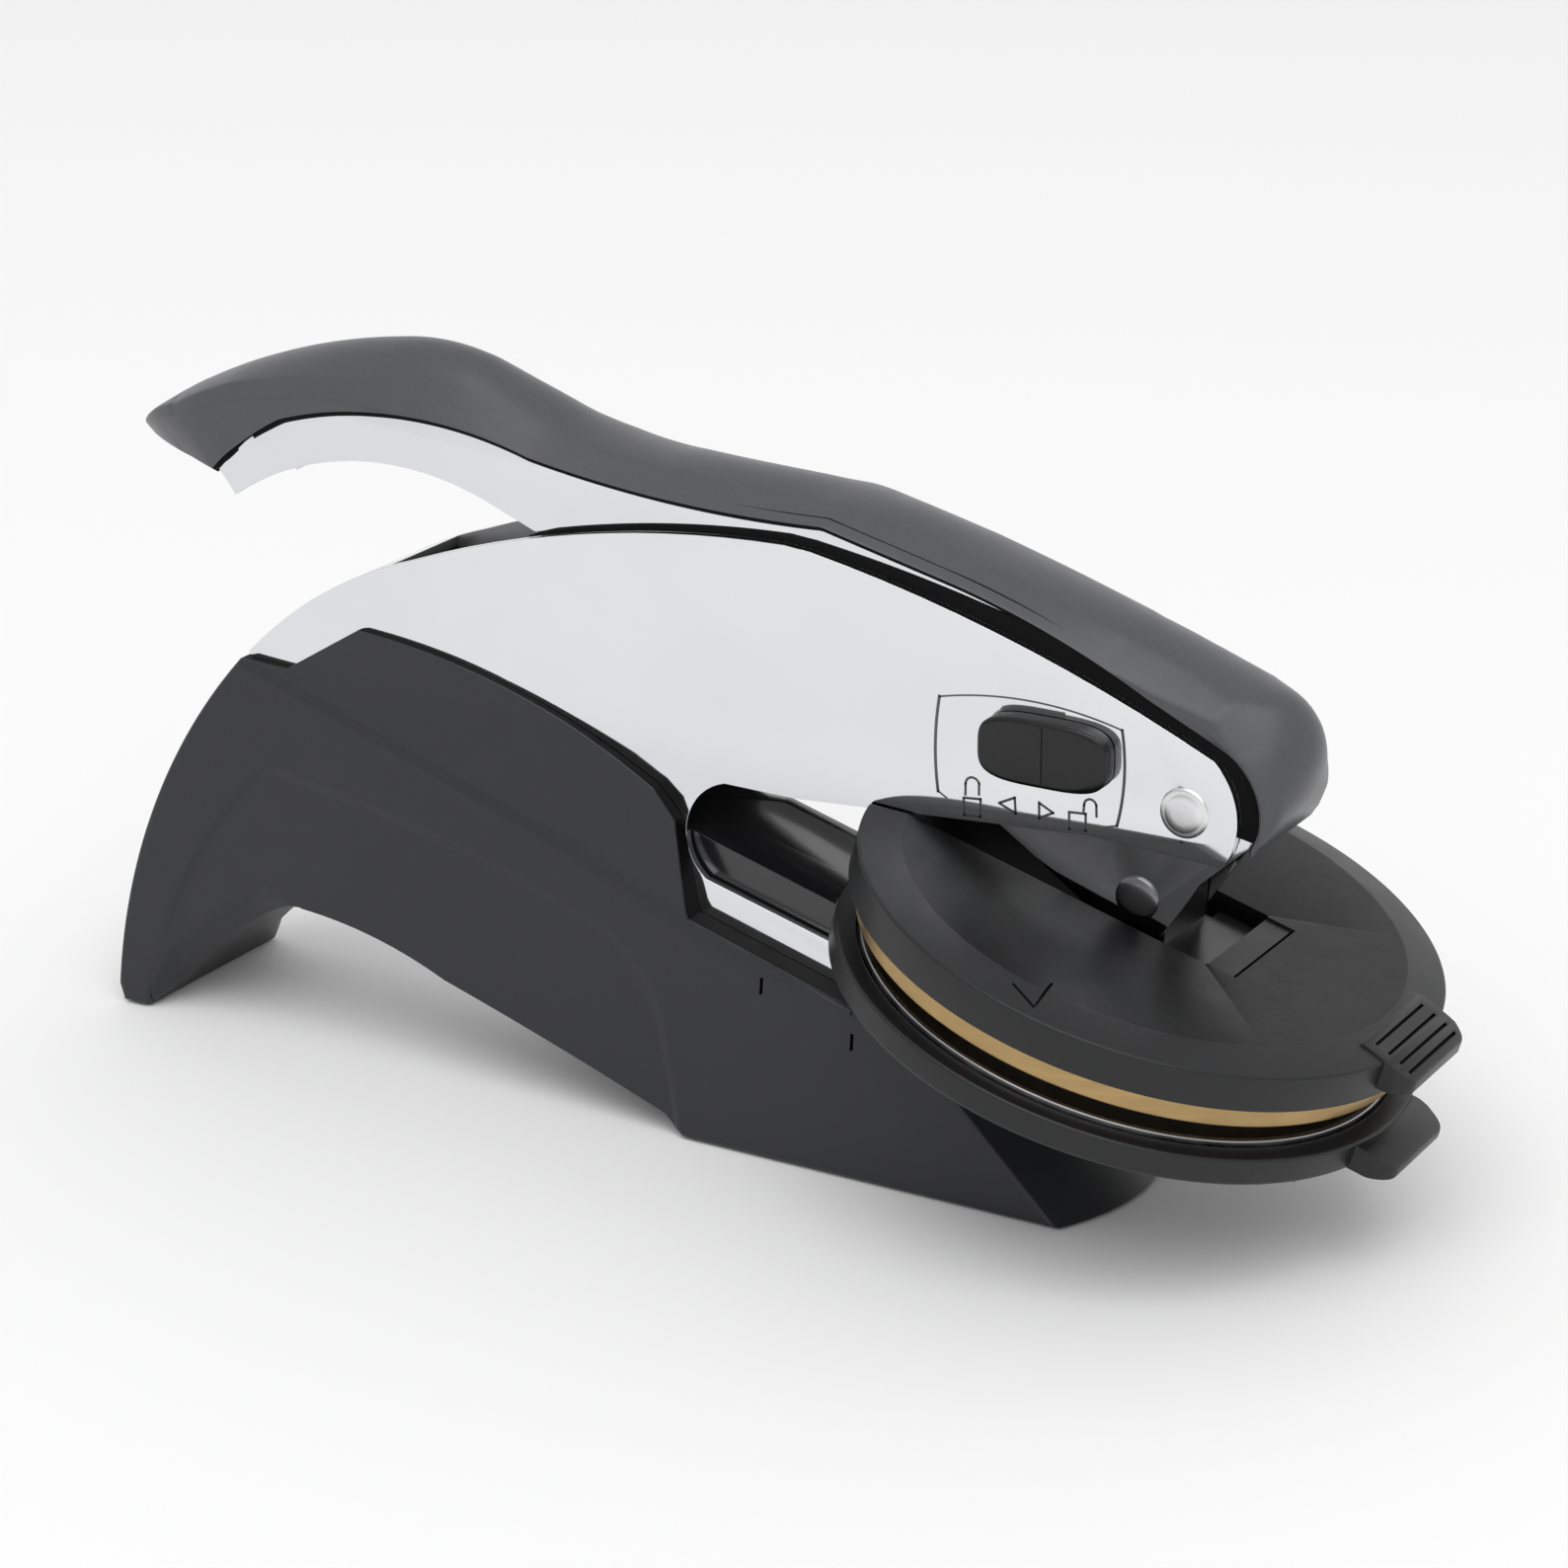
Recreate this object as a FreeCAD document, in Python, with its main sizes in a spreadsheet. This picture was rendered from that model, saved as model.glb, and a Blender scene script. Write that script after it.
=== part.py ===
import FreeCAD, Part
import Sketcher
import math
import os
import re
from FreeCAD import Placement, Rotation, Vector

# Seal embosser: a C-shaped sheet frame in a moulded base, a hand lever with a moulded
# cover, and a slide-in insert that holds the two dies.
# Frame: +X towards the dies, +Z up, Y = 0 is the middle plane, Z = 0 is the desk.
# The insert's pieces are drawn in the die frame: its own Z is the pressing direction,
# its own X runs forward in the plane of the discs, its origin is the top disc's rim.

document = FreeCAD.newDocument("SealEmbosser")

sizes = {
    # die frame
    "discX": 44.9, "discZ": 33.4, "discTilt": 15.9,
    # widths, each measured from the middle plane
    "cheekOuter": 7.5, "sheet": 0.9, "leverGap": 0.3, "coverHalf": 7.5, "coverPlay": 0.1,
    "panelHalf": 9.0, "footHalf": 13.0, "flareTop": 45.0, "slotPlay": 0.1,
    # discs, heights counted along the pressing direction
    "dieRadius": 25.4, "dieMargin": 6.6, "rimRadius": "=dieRadius + dieMargin",
    "rimSlope": 4.5, "plateauRise": 1.0, "upperWall": 4.1,
    "brassInset": 1.4, "brassThick": 2.8, "upperDieRaise": 1.45,
    "dieGap": 0.3, "lowerDieRaise": 0.65, "silverInset": 2.6, "silverProud": 0.6,
    "silverThick": 1.6, "seatPlay": 0.2, "holderHeight": 3.2, "dieLift": 2.0,
    # slot for the press shoe in the top disc
    "slotClearance": 0.3, "slotFloor": -2.5, "barRear": 9.9, "barUnder": -0.45,
    "barGroove": 13.1, "barGrooveWidth": 0.5, "barGrooveDepth": 0.4,
    "shoePocket": 16.3, "reliefEnd": 34.0, "cutHead": 3.0,
    # tabs
    "tabBury": 3.0, "tabLength": 2.7, "tabHalf": 8.5, "tabCrest": 0.0, "tabDroop": 1.9,
    "tabThick": 1.5, "lowTabLength": 4.2, "lowTabHalf": 9.0, "lowTabDroop": 1.6,
    # posts that carry the top disc
    "postAngle": 155.0, "postInset": 3.8, "postRadius": 1.1, "runFit": 0.05,
    "postTop": -1.2, "postHoleTop": -0.7, "springWire": 0.32, "springRoom": 0.25,
    "springPitch": 0.95, "springEnd": 0.25,
    # die screws and holder screws
    "dieScrewFirst": 50.0, "dieScrewSecond": 110.0,
    "smallShank": 0.8, "smallHead": 1.5, "smallHeadHeight": 0.9, "smallLength": 3.6,
    "holderScrewAlong": 16.0, "holderScrewHead": 2.2, "holderScrewShank": 1.2,
    "holderScrewHeadHeight": 1.2, "holderScrewLength": 5.6,
    # frame jaw under the insert
    "armDrop": 4.2, "barSink": 1.2, "slideGap": 0.3, "armDepth": 6.7, "armFront": 8.0,
    "armShow": 4.5, "anvilDepth": 5.0, "anvilRear": -52.0, "sidePlay": 0.3,
    # slide block and its tail between the cheeks
    "slideFront": 26.0, "tailRear": -54.0, "ridgeRear": -12.0,
    "ridge": -13.9, "crestHeight": -8.5, "crestRear": -43.6, "crestHalf": 0.8,
    "hollowY": 3.4, "hollowZ": -12.5,
    # pivot, press pin and their heads
    "pivotX": 51.6, "pivotZ": 47.5, "axleRadius": 1.6, "axleHead": 2.8, "axleHeadThick": 0.5,
    "pinX": 46.0, "pinZ": 36.7, "pinRadius": 1.5, "pinHead": 2.5, "pinCrown": 1.5, "pinHeadRim": 0.25,
    "pinHeadRise": 0.55, "bushWall": 1.0,
    # press shoe, measured from the press pin in the die frame
    "shoeHalf": 5.1, "shoeTop": 2.6, "shoeRear": -4.2, "shoeNose": 4.0, "tongueTop": -0.75,
    "tongueThick": 1.2, "tongueReach": 15.9, "tongueHalf": 7.1, "tongueWide": 4.9,
    # frame sheet, side view
    "heelX": -66.8, "heelZ": 45.3, "shoulderX": -55.9, "shoulderZ": 54.0,
    "backX": -43.3, "backZ": 59.8, "ridgeX": -19.9, "ridgeZ": 66.4, "summitX": 4.4,
    "summitZ": 68.8, "kinkX": 7.5, "kinkZ": 68.5, "slopeX": 31.6, "slopeZ": 62.6,
    "browX": 54.7, "browZ": 53.6, "browRound": 5.9, "chinX": 56.1, "chinZ": 42.3,
    "jawX": 40.5, "jawZ": 43.0, "jawRearX": 5.3, "jawRearZ": 40.6, "throatX": -3.1,
    "throatZ": 40.7, "throatBackX": -8.0, "throatBackZ": 34.0, "armRootX": -5.6,
    "armRootZ": 29.2, "hipX": -64.3, "hipZ": 41.0, "thighX": -58.5, "thighZ": 31.0,
    "kneeX": -12.0, "kneeZ": 18.5, "webFront": -47.0, "webFrontZ": 58.2,
    # window and engraved border for the lock, on the near cheek
    "lockX": 36.2, "lockZ": 51.6, "stemX": 36.2, "stemZ": 53.0, "stemRadius": 1.2,
    "lockTravel": 4.0, "buttonLength": 14.9, "buttonHeight": 7.2, "buttonCorner": 1.6,
    "buttonProud": 2.5, "buttonGap": 0.15, "groove": 0.6, "clipRadius": 2.6,
    "clipThick": 0.5, "clipGap": 0.3, "stemPlay": 0.3, "windowArc": 0.8, "catchReach": 3.8,
    "catchHeight": 3.4, "stemSeat": 1.2,
    # lever, side view
    "leverSheet": 0.9, "leverRoof": 1.2, "endX": -68.7, "endZ": 63.4, "palmX": -51.1,
    "palmZ": 69.8, "bellyX": -32.6, "bellyZ": 67.0, "sinkX": -24.0, "sinkZ": 63.6,
    "innerKneeX": 18.0, "innerKneeZ": 49.5, "lugRearX": 32.8, "lugRearZ": 39.9,
    "lugHeelX": 43.8, "lugHeelZ": 32.3, "lugToeX": 48.8, "lugToeZ": 33.0,
    "lugRoundX": 46.5, "lugRoundZ": 31.75, "lugFrontX": 53.1, "lugFrontZ": 39.6,
    "noseLowX": 58.3, "noseLowZ": 44.4, "noseX": 58.9, "noseZ": 50.5, "noseTopX": 55.3,
    "noseTopZ": 57.3, "roofRise": 1.65,
    # lower edge of the cover, side view
    "lipEndX": -71.4, "lipEndZ": 65.6, "lipCurlX": -67.0, "lipCurlZ": 67.8,
    "lipBackX": -63.2, "lipBackZ": 71.55, "lipHumpX": -44.5, "lipHumpZ": 75.5,
    "lipWaistX": -25.5, "lipWaistZ": 72.75, "lipLowX": -8.4, "lipLowZ": 70.9,
    "lipKinkX": 8.7, "lipKinkZ": 70.85, "lipSlopeX": 24.4, "lipSlopeZ": 67.3,
    "lipFallX": 39.9, "lipFallZ": 62.95, "lipCheekX": 47.5, "lipCheekZ": 58.6,
    "lipBrowX": 55.1, "lipBrowZ": 54.25, "lipNoseX": 59.0, "lipNoseZ": 49.3,
    "lipChinX": 58.6, "lipChinZ": 44.5,
    # crown of the cover, side view
    "tipX": -85.5, "tipZ": 68.3, "crownRearX": -75.7, "crownRearZ": 75.2,
    "crownRiseX": -64.5, "crownRiseTall": 7.95, "crownHumpX": -45.2, "crownHumpTall": 7.9,
    "crownFallX": -25.9, "crownFallTall": 6.55, "crownWaistX": -12.7, "crownWaistTall": 5.0,
    "crownFlatX": 0.9, "crownFlatTall": 4.65, "crownKinkX": 13.3, "crownKinkTall": 3.75,
    "crownSlopeX": 25.3, "crownSlopeTall": 3.7, "crownRunX": 41.4, "crownRunTall": 3.85,
    "crownNoseX": 57.1, "crownNoseZ": 61.2, "beakX": 61.3, "beakZ": 54.8,
    "beakLowX": 61.1, "beakLowZ": 47.6, "beakEndX": 58.7, "beakEndZ": 42.6,
    "tipHalf": 2.0, "tipRoundX": -81.5, "tipRoundY": 6.4,
    "tipFullX": -73.0, "coverScrewLength": 2.2, "coverScrewGap": 0.15,
    "coverScrewHead": 2.2, "coverScrewHeadHeight": 1.1, "coverScrewRadius": 1.2,
    # base moulding, side view
    "baseHeelX": -67.2, "baseHeelZ": 44.7, "baseBackX": -79.5, "baseBackZ": 25.0,
    "baseAnkleX": -84.4, "baseAnkleZ": 2.3, "heelRound": 0.8, "footLength": 4.4,
    "baseLift": 0.3, "instepX": -70.3, "instepZ": 9.8, "archRearX": -60.4,
    "archRearZ": 15.9, "archTopX": -58.6, "archTopZ": 16.4, "archFallX": -48.1,
    "archFallZ": 15.0, "archMidX": -38.0, "archMidZ": 11.8, "archRunX": -23.0,
    "archRunZ": 7.3, "archEndX": -8.1, "archEndZ": 2.4, "soleX": -5.6, "bowX": 45.2,
    "bowSideX": 41.6, "bowLean": 48.8, "panelLowX": -60.7, "panelLowZ": 44.5,
    "panelRearX": -50.6, "panelRearZ": 50.7, "panelTopX": -30.2, "panelTopZ": 47.1,
    "panelFrontX": -11.2, "panelFrontZ": 39.1, "panelNoseX": -8.3, "panelNoseZ": 35.9,
    "panelToeX": -6.5,
    # base underside: cover plate, pads, hollows and screws
    "plateRear": -3.5, "plateFront": 38.0, "plateHalf": 10.5, "plateThick": 1.5,
    "padThick": 0.9, "padInset": 1.2, "hollowRear": -1.5, "hollowFront": 30.0,
    "hollowHalf": 9.5, "hollowTop": 8.0, "ribX": 12.0, "ribHalf": 2.6,
    "rearPadHalf": 9.5, "rearPadInset": 0.5, "rearPadThick": 1.1,
    "plateScrewFront": 34.0, "plateScrewRadius": 1.25, "plateScrewHead": 2.2,
    "plateScrewHeadHeight": 1.0, "plateScrewLength": 5.2,
    "frameScrewRadius": 1.5, "frameScrewHead": 2.75, "frameScrewHeadHeight": 1.8,
    "frameScrewRear": 3.0, "frameScrewFront": 22.0, "frameScrewBite": 3.5,
    "blockX": -50.0, "blockZ": 34.2, "blockLength": 9.0, "blockHeight": 8.0,
    "blockScrewSeat": 17.6, "blockScrewBite": 5.0,
    # cross pins between the cheeks
    "stopRadius": 1.5, "stopHeight": -14.5, "anchorX": 22.0, "anchorRadius": 1.0,
    "jawPinRadius": 1.25, "jawPinRear": -50.5, "jawPinMiddle": -14.0, "jawPinFront": 2.0,
    "jawPinDepth": 2.5,
    # torsion spring round the axle
    "coilWire": 0.45, "coilPlay": 0.35, "coilTurns": 4.0, "coilPitch": 1.05,
    "legAngle": 41.0, "legLength": 20.0, "legPlay": 0.05,
    # motion
    "handleSwing": 24.0,
}

sheet = document.addObject("Spreadsheet::Sheet", "Dims")
for row, (alias, size) in enumerate(sizes.items(), start=1):
    sheet.set("A%d" % row, alias)
    sheet.set("B%d" % row, str(size))
    sheet.setAlias("B%d" % row, alias)
document.recompute()

aliasWord = re.compile(r"[A-Za-z]\w*")


def dims(text):
    """The text as an expression of the sheet, with Dims. before each alias."""
    return aliasWord.sub(lambda m: "Dims." + m[0] if m[0] in sizes else m[0], text)


def value(text):
    return float(sheet.evalExpression(dims(text)))


def bind(item, place, text):
    item.setExpression(place, dims(text))


# ---- the die frame ----
cosTilt = "cos(discTilt * 1 deg)"
sinTilt = "sin(discTilt * 1 deg)"


def worldX(along, height):
    return "discX + (%s) * %s + (%s) * %s" % (along, cosTilt, height, sinTilt)


def worldZ(along, height):
    return "discZ - (%s) * %s + (%s) * %s" % (along, sinTilt, height, cosTilt)


def alongDisc(x, z):
    return "((%s) - discX) * %s - ((%s) - discZ) * %s" % (x, cosTilt, z, sinTilt)


def aboveDisc(x, z):
    return "((%s) - discX) * %s + ((%s) - discZ) * %s" % (x, sinTilt, z, cosTilt)


def fromDisc(along, height):
    return (worldX(along, height), worldZ(along, height))


# levels of the stack, top disc to jaw
brassTop = "-upperWall"
brassBottom = brassTop + " - brassThick"
upperFace = brassBottom + " - upperDieRaise"
lowerFace = upperFace + " - dieGap"
silverTop = lowerFace + " - lowerDieRaise"
silverBottom = silverTop + " - silverThick"
lowerRim = silverTop + " - silverProud"
holderBottom = lowerRim + " - holderHeight"
armTop = holderBottom + " - armDrop"
anvilTop = armTop + " - barSink"
slideBottom = anvilTop + " + slideGap"
armBottom = armTop + " - armDepth"
deck = armTop + " - armShow"
slotHalf = "cheekOuter + slotClearance"
cheekInner = "cheekOuter - sheet"
leverOuter = "cheekOuter - sheet - leverGap"
leverInner = leverOuter + " - leverSheet"
slideHalf = "cheekOuter - sheet - sidePlay"
axleSpan = "cheekOuter + axleHeadThick"

# ---- drawing helpers ----
parts = []


def newBody(name, kept=True):
    body = document.addObject("PartDesign::Body", name)
    body.Label = name
    if kept:
        parts.append(body)
    return body


def tilted(body):
    """Puts a body in the die frame."""
    body.Placement = Placement(Vector(), Rotation(Vector(0, 1, 0), value("discTilt")))
    bind(body, "Placement.Base.x", "discX")
    bind(body, "Placement.Base.z", "discZ")
    bind(body, "Placement.Rotation.Angle", "discTilt * 1 deg")
    return body


def crossAxis(body, x, z, y="0"):
    """Stands a body's own Z along the world's Y, at a point of the side view."""
    body.Placement = Placement(Vector(), Rotation(Vector(1, 0, 0), 90))
    bind(body, "Placement.Base.x", x)
    bind(body, "Placement.Base.y", y)
    bind(body, "Placement.Base.z", z)
    return body


def newSketch(body, name, role, offset="0"):
    sketch = body.newObject("Sketcher::SketchObject", name)
    plane = [item for item in body.Origin.OriginFeatures if item.Role == role][0]
    sketch.AttachmentSupport = (plane, [""])
    sketch.MapMode = "FlatFace"
    bind(sketch, "AttachmentOffset.Base.z", offset)
    return sketch


def pin(sketch, geometry, point, x, z):
    """Holds one point of a sketch at a named place."""
    for kind, text in (("DistanceX", x), ("DistanceY", z)):
        index = sketch.addConstraint(
            Sketcher.Constraint(kind, -1, 1, geometry, point, value(text)))
        bind(sketch, "Constraints[%d]" % index, text)


def outline(sketch, path):
    """A closed outline. A point that ends in "arc" is passed by an arc."""
    corners = [place for place, point in enumerate(path) if len(point) == 2]
    runs = []
    for place, start in enumerate(corners):
        end = corners[(place + 1) % len(corners)]
        middle = start + 1 if (start + 1) % len(path) != end else None
        runs.append((start, middle, end))
    placed = []
    for start, middle, end in runs:
        ends = [Vector(value(path[i][0]), value(path[i][1]), 0) for i in (start, end)]
        if middle is None:
            geometry = sketch.addGeometry(Part.LineSegment(*ends))
            placed.append((geometry, 1, 2))
            continue
        through = Vector(value(path[middle][0]), value(path[middle][1]), 0)
        clockwise = (ends[1] - ends[0]).cross(through - ends[0]).z > 0
        if clockwise:
            ends.reverse()
        bend = Part.Circle(ends[0], through, ends[1])
        angles = [math.atan2(end.y - bend.Center.y, end.x - bend.Center.x) for end in ends]
        if angles[1] < angles[0]:
            angles[1] += 2 * math.pi
        ring = Part.Circle(bend.Center, Vector(0, 0, 1), bend.Radius)
        geometry = sketch.addGeometry(Part.ArcOfCircle(ring, *angles))
        placed.append((geometry, 2, 1) if clockwise else (geometry, 1, 2))
        mark = sketch.addGeometry(Part.Point(through), True)
        sketch.addConstraint(Sketcher.Constraint("PointOnObject", mark, 1, geometry))
        pin(sketch, mark, 1, path[middle][0], path[middle][1])
    for place, (geometry, first, last) in enumerate(placed):
        following = placed[(place + 1) % len(placed)]
        sketch.addConstraint(
            Sketcher.Constraint("Coincident", geometry, last, following[0], following[1]))
        start = runs[place][0]
        pin(sketch, geometry, first, path[start][0], path[start][1])


def circle(sketch, x, y, radius):
    centre = Vector(value(x), value(y), 0)
    geometry = sketch.addGeometry(Part.Circle(centre, Vector(0, 0, 1), value(radius)))
    pin(sketch, geometry, 3, x, y)
    index = sketch.addConstraint(Sketcher.Constraint("Radius", geometry, value(radius)))
    bind(sketch, "Constraints[%d]" % index, radius)


def rectangle(x0, z0, x1, z1):
    return [(x0, z0), (x1, z0), (x1, z1), (x0, z1)]


def pad(body, sketch, length):
    """Thickens a sketch to both sides of its plane."""
    feature = body.newObject("PartDesign::Pad", sketch.Name + "Pad")
    feature.Profile = sketch
    feature.SideType = "Symmetric"
    bind(feature, "Length", length)
    return feature


def pocket(body, sketch, length):
    """Cuts a sketch away to both sides of its plane."""
    feature = body.newObject("PartDesign::Pocket", sketch.Name + "Pocket")
    feature.Profile = sketch
    feature.SideType = "Symmetric"
    bind(feature, "Length", length)
    return feature


def revolve(body, sketch):
    feature = body.newObject("PartDesign::Revolution", sketch.Name + "Turn")
    feature.Profile = sketch
    feature.ReferenceAxis = (sketch, ["V_Axis"])
    feature.Angle = 360
    return feature


def turned(name, profile, kept=True):
    """A turned piece: the profile holds (radius, height) round the body's own Z."""
    body = newBody(name, kept)
    sketch = newSketch(body, name + "Profile", "XZ_Plane")
    outline(sketch, profile)
    revolve(body, sketch)
    return body


def plate(name, path, width, kept=True):
    """A piece with one side view, as thick as width across the middle plane."""
    body = newBody(name, kept)
    sketch = newSketch(body, name + "Side", "XZ_Plane")
    outline(sketch, path)
    pad(body, sketch, width)
    return body


def cut(body, name, path, width, role="XZ_Plane", offset="0"):
    sketch = newSketch(body, name, role, offset)
    outline(sketch, path)
    return pocket(body, sketch, width)


def bores(body, name, places, radius, length, role="XY_Plane", offset="0"):
    sketch = newSketch(body, name, role, offset)
    for x, y in places:
        circle(sketch, x, y, radius)
    return pocket(body, sketch, length)


def group(name, members):
    """Several equal solids as one sub-part."""
    compound = document.addObject("Part::Compound", name)
    compound.Label = name
    compound.Links = members
    parts.append(compound)
    return compound


def polar(radius, angle):
    return tuple("(%s) * %s(%s * 1 deg)" % (radius, turn, angle) for turn in ("cos", "sin"))


throughAll = "footHalf * 4"

# ---- frame: two cheeks and a rear web, folded from one sheet ----
armTip = fromDisc("armFront", armTop)
armToe = fromDisc("armFront", armBottom)
frameUnder = [("hipX", "hipZ"), ("thighX", "thighZ"), ("kneeX", "kneeZ"), armToe]
frameSide = [
    ("heelX", "heelZ"), ("shoulderX", "shoulderZ", "arc"), ("backX", "backZ"),
    ("ridgeX", "ridgeZ", "arc"), ("summitX", "summitZ"), ("kinkX", "kinkZ"),
    ("slopeX", "slopeZ", "arc"), ("browX", "browZ"),
    ("pivotX + browRound", "pivotZ", "arc"), ("chinX", "chinZ"),
    ("jawX", "jawZ"), ("jawRearX", "jawRearZ"), ("throatX", "throatZ"),
    ("throatBackX", "throatBackZ", "arc"), ("armRootX", "armRootZ"), armTip]
frame = plate("frame_shell", frameSide + list(reversed(frameUnder)), "cheekOuter * 2")
hollowSide = [
    ("heelX + sheet * 1.3", "heelZ - sheet * 0.6"),
    ("shoulderX + sheet * 0.6", "shoulderZ - sheet * 0.8", "arc"),
    ("webFront", "webFrontZ - sheet"), ("webFront", "summitZ * 2"),
    ("rimRadius + discX", "summitZ * 2"), ("rimRadius + discX", "0"),
    ("thighX", "0"), ("thighX + sheet", "thighZ"), ("hipX + sheet", "hipZ - sheet * 0.5")]

cut(frame, "frameHollow", hollowSide, "(%s) * 2" % cheekInner)
bores(frame, "frameAxleBore", [("pivotX", "pivotZ")], "axleRadius", throughAll, "XZ_Plane")
stemSlot = rectangle(
    "stemX - lockTravel - stemRadius - stemPlay", "stemZ - stemRadius - stemPlay",
    "stemX + stemRadius + stemPlay", "stemZ + stemRadius + stemPlay")
cut(frame, "stemSlot", stemSlot, "sheet * 2", offset="cheekOuter - sheet / 2")

# ---- jaw: the bar between the lower arms, and its cross pins ----
anvilLow = anvilTop + " - anvilDepth"
anvilSide = [
    fromDisc("anvilRear", anvilLow), fromDisc("armFront", anvilLow),
    fromDisc("armFront", anvilTop), fromDisc("anvilRear", anvilTop)]
anvil = plate("anvil_bar", anvilSide, "(%s) * 2" % cheekInner)
jawPins = [fromDisc(along, anvilTop + " - jawPinDepth")
           for along in ("jawPinRear", "jawPinMiddle", "jawPinFront")]
stopPlace = fromDisc("tailRear - stopRadius - slideGap", "stopHeight")
for body in (frame, anvil):
    bores(body, body.Label + "_pin_bores", jawPins, "jawPinRadius", throughAll, "XZ_Plane")
bores(frame, "stopPinBore", [stopPlace], "stopRadius", throughAll, "XZ_Plane")


def crossPin(name, place, radius, half, kept=True):
    """A plain pin along Y."""
    profile = rectangle("0", "-(%s)" % half, radius, half)
    return crossAxis(turned(name, profile, kept), *place)


group("jaw_pins", [crossPin("jawPin%d" % (index + 1), place, "jawPinRadius", "cheekOuter", False)
                   for index, place in enumerate(jawPins)])
crossPin("stop_pin", stopPlace, "stopRadius", "cheekOuter")
coilMean = "axleRadius + runFit + bushWall + coilPlay + coilWire / 2"
anchorZ = "pivotZ - (%s) - coilWire / 2 - anchorRadius - legPlay" % coilMean
crossPin("anchor_pin", ("anchorX", anchorZ), "anchorRadius", cheekInner)

# ---- rear block between the cheeks, held from below ----
blockSide = rectangle(
    "blockX - blockLength / 2", "blockZ - blockHeight / 2",
    "blockX + blockLength / 2", "blockZ + blockHeight / 2")
block = plate("rear_block", blockSide, "(%s) * 2" % cheekInner)

# ---- base moulding ----
def deckZ(x, level):
    """Height in the side view of a level of the die frame, at x."""
    return "discZ + ((%s) - ((%s) - discX) * %s) / %s" % (level, x, sinTilt, cosTilt)


footRear = "baseAnkleX + heelRound"
footFront = "baseAnkleX + footLength"
baseSide = [
    ("baseHeelX", "baseHeelZ"), ("baseBackX", "baseBackZ", "arc"),
    ("baseAnkleX", "baseAnkleZ"), (footRear, "baseLift"), (footFront, "baseLift"),
    ("instepX", "instepZ", "arc"), ("archRearX", "archRearZ"), ("archTopX", "archTopZ"),
    ("archFallX", "archFallZ", "arc"), ("archMidX", "archMidZ"),
    ("archRunX", "archRunZ", "arc"), ("archEndX", "archEndZ"), ("soleX", "baseLift"),
    ("bowX", "baseLift"), ("bowX", deckZ("bowX", deck)),
    ("panelToeX", deckZ("panelToeX", deck)), ("panelNoseX", "panelNoseZ"),
    ("panelFrontX", "panelFrontZ"), ("panelTopX", "panelTopZ", "arc"),
    ("panelRearX", "panelRearZ"), ("panelLowX", "panelLowZ")]
base = plate("base_body", baseSide, "footHalf * 2")
flare = newSketch(base, "flare", "YZ_Plane")
for side in ("", "-"):
    outline(flare, [
        (side + "footHalf", "0"), (side + "panelHalf", "flareTop"),
        (side + "panelHalf", "flareTop * 2"), (side + "footHalf * 2", "flareTop * 2"),
        (side + "footHalf * 2", "0")])
pocket(base, flare, "-tipX * 3")

bow = newSketch(base, "bow", "XY_Plane")
outline(bow, [
    ("bowSideX", "-footHalf"), ("bowX", "0", "arc"), ("bowSideX", "footHalf"),
    ("bowSideX", "footHalf * 2"), ("bowX * 2", "footHalf * 2"),
    ("bowX * 2", "-footHalf * 2"), ("bowSideX", "-footHalf * 2")])
bowCut = base.newObject("PartDesign::Pocket", "bowPocket")
bowCut.Profile = bow
bowCut.UseCustomVector = True
bind(bowCut, "Direction.x", "sin(bowLean * 1 deg)")
bowCut.Direction = Vector(value("sin(bowLean * 1 deg)"), 0, -value("cos(bowLean * 1 deg)"))
bind(bowCut, "Direction.z", "-cos(bowLean * 1 deg)")
bowCut.Reversed = True
bind(bowCut, "Length", "bowX")

frameSlot = [("heelX", "heelZ")] + frameUnder + [(armToe[0], "flareTop * 2"), ("heelX", "flareTop * 2")]
cut(base, "frameSlot", frameSlot, "(cheekOuter + slotPlay) * 2")
plateTop = "padThick + plateThick"
cut(base, "plateSeat", rectangle("plateRear", "0", "plateFront", plateTop), "plateHalf * 2")
for index, (rear, front) in enumerate((("hollowRear", "ribX - ribHalf"), ("ribX + ribHalf", "hollowFront"))):
    cut(base, "hollow%d" % (index + 1), rectangle(rear, plateTop, front, "hollowTop"), "hollowHalf * 2")
rearPad = rectangle(footRear + " + rearPadInset", "0", footFront + " - rearPadInset", "rearPadThick")
cut(base, "rearPadSeat", rearPad, "rearPadHalf * 2")

plateBody = plate("base_plate", rectangle("plateRear", "padThick", "plateFront", plateTop), "plateHalf * 2")
plate("front_pad", rectangle("plateRear + padInset", "0", "plateFront - padInset", "padThick"),
      "(plateHalf - padInset) * 2")
plate("rear_pad", rearPad, "rearPadHalf * 2")


def screw(name, place, axis, head, headHeight, shank, length):
    """A flat-headed screw whose head starts at place and whose tip lies length further on."""
    body = turned(name, [
        ("0", "0"), (head, "0"), (head, headHeight), (shank, headHeight), (shank, length),
        ("0", length)], False)
    body.Placement = Placement(Vector(), axis)
    for letter, text in zip("xyz", place):
        bind(body, "Placement.Base." + letter, text)
    return body


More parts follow.
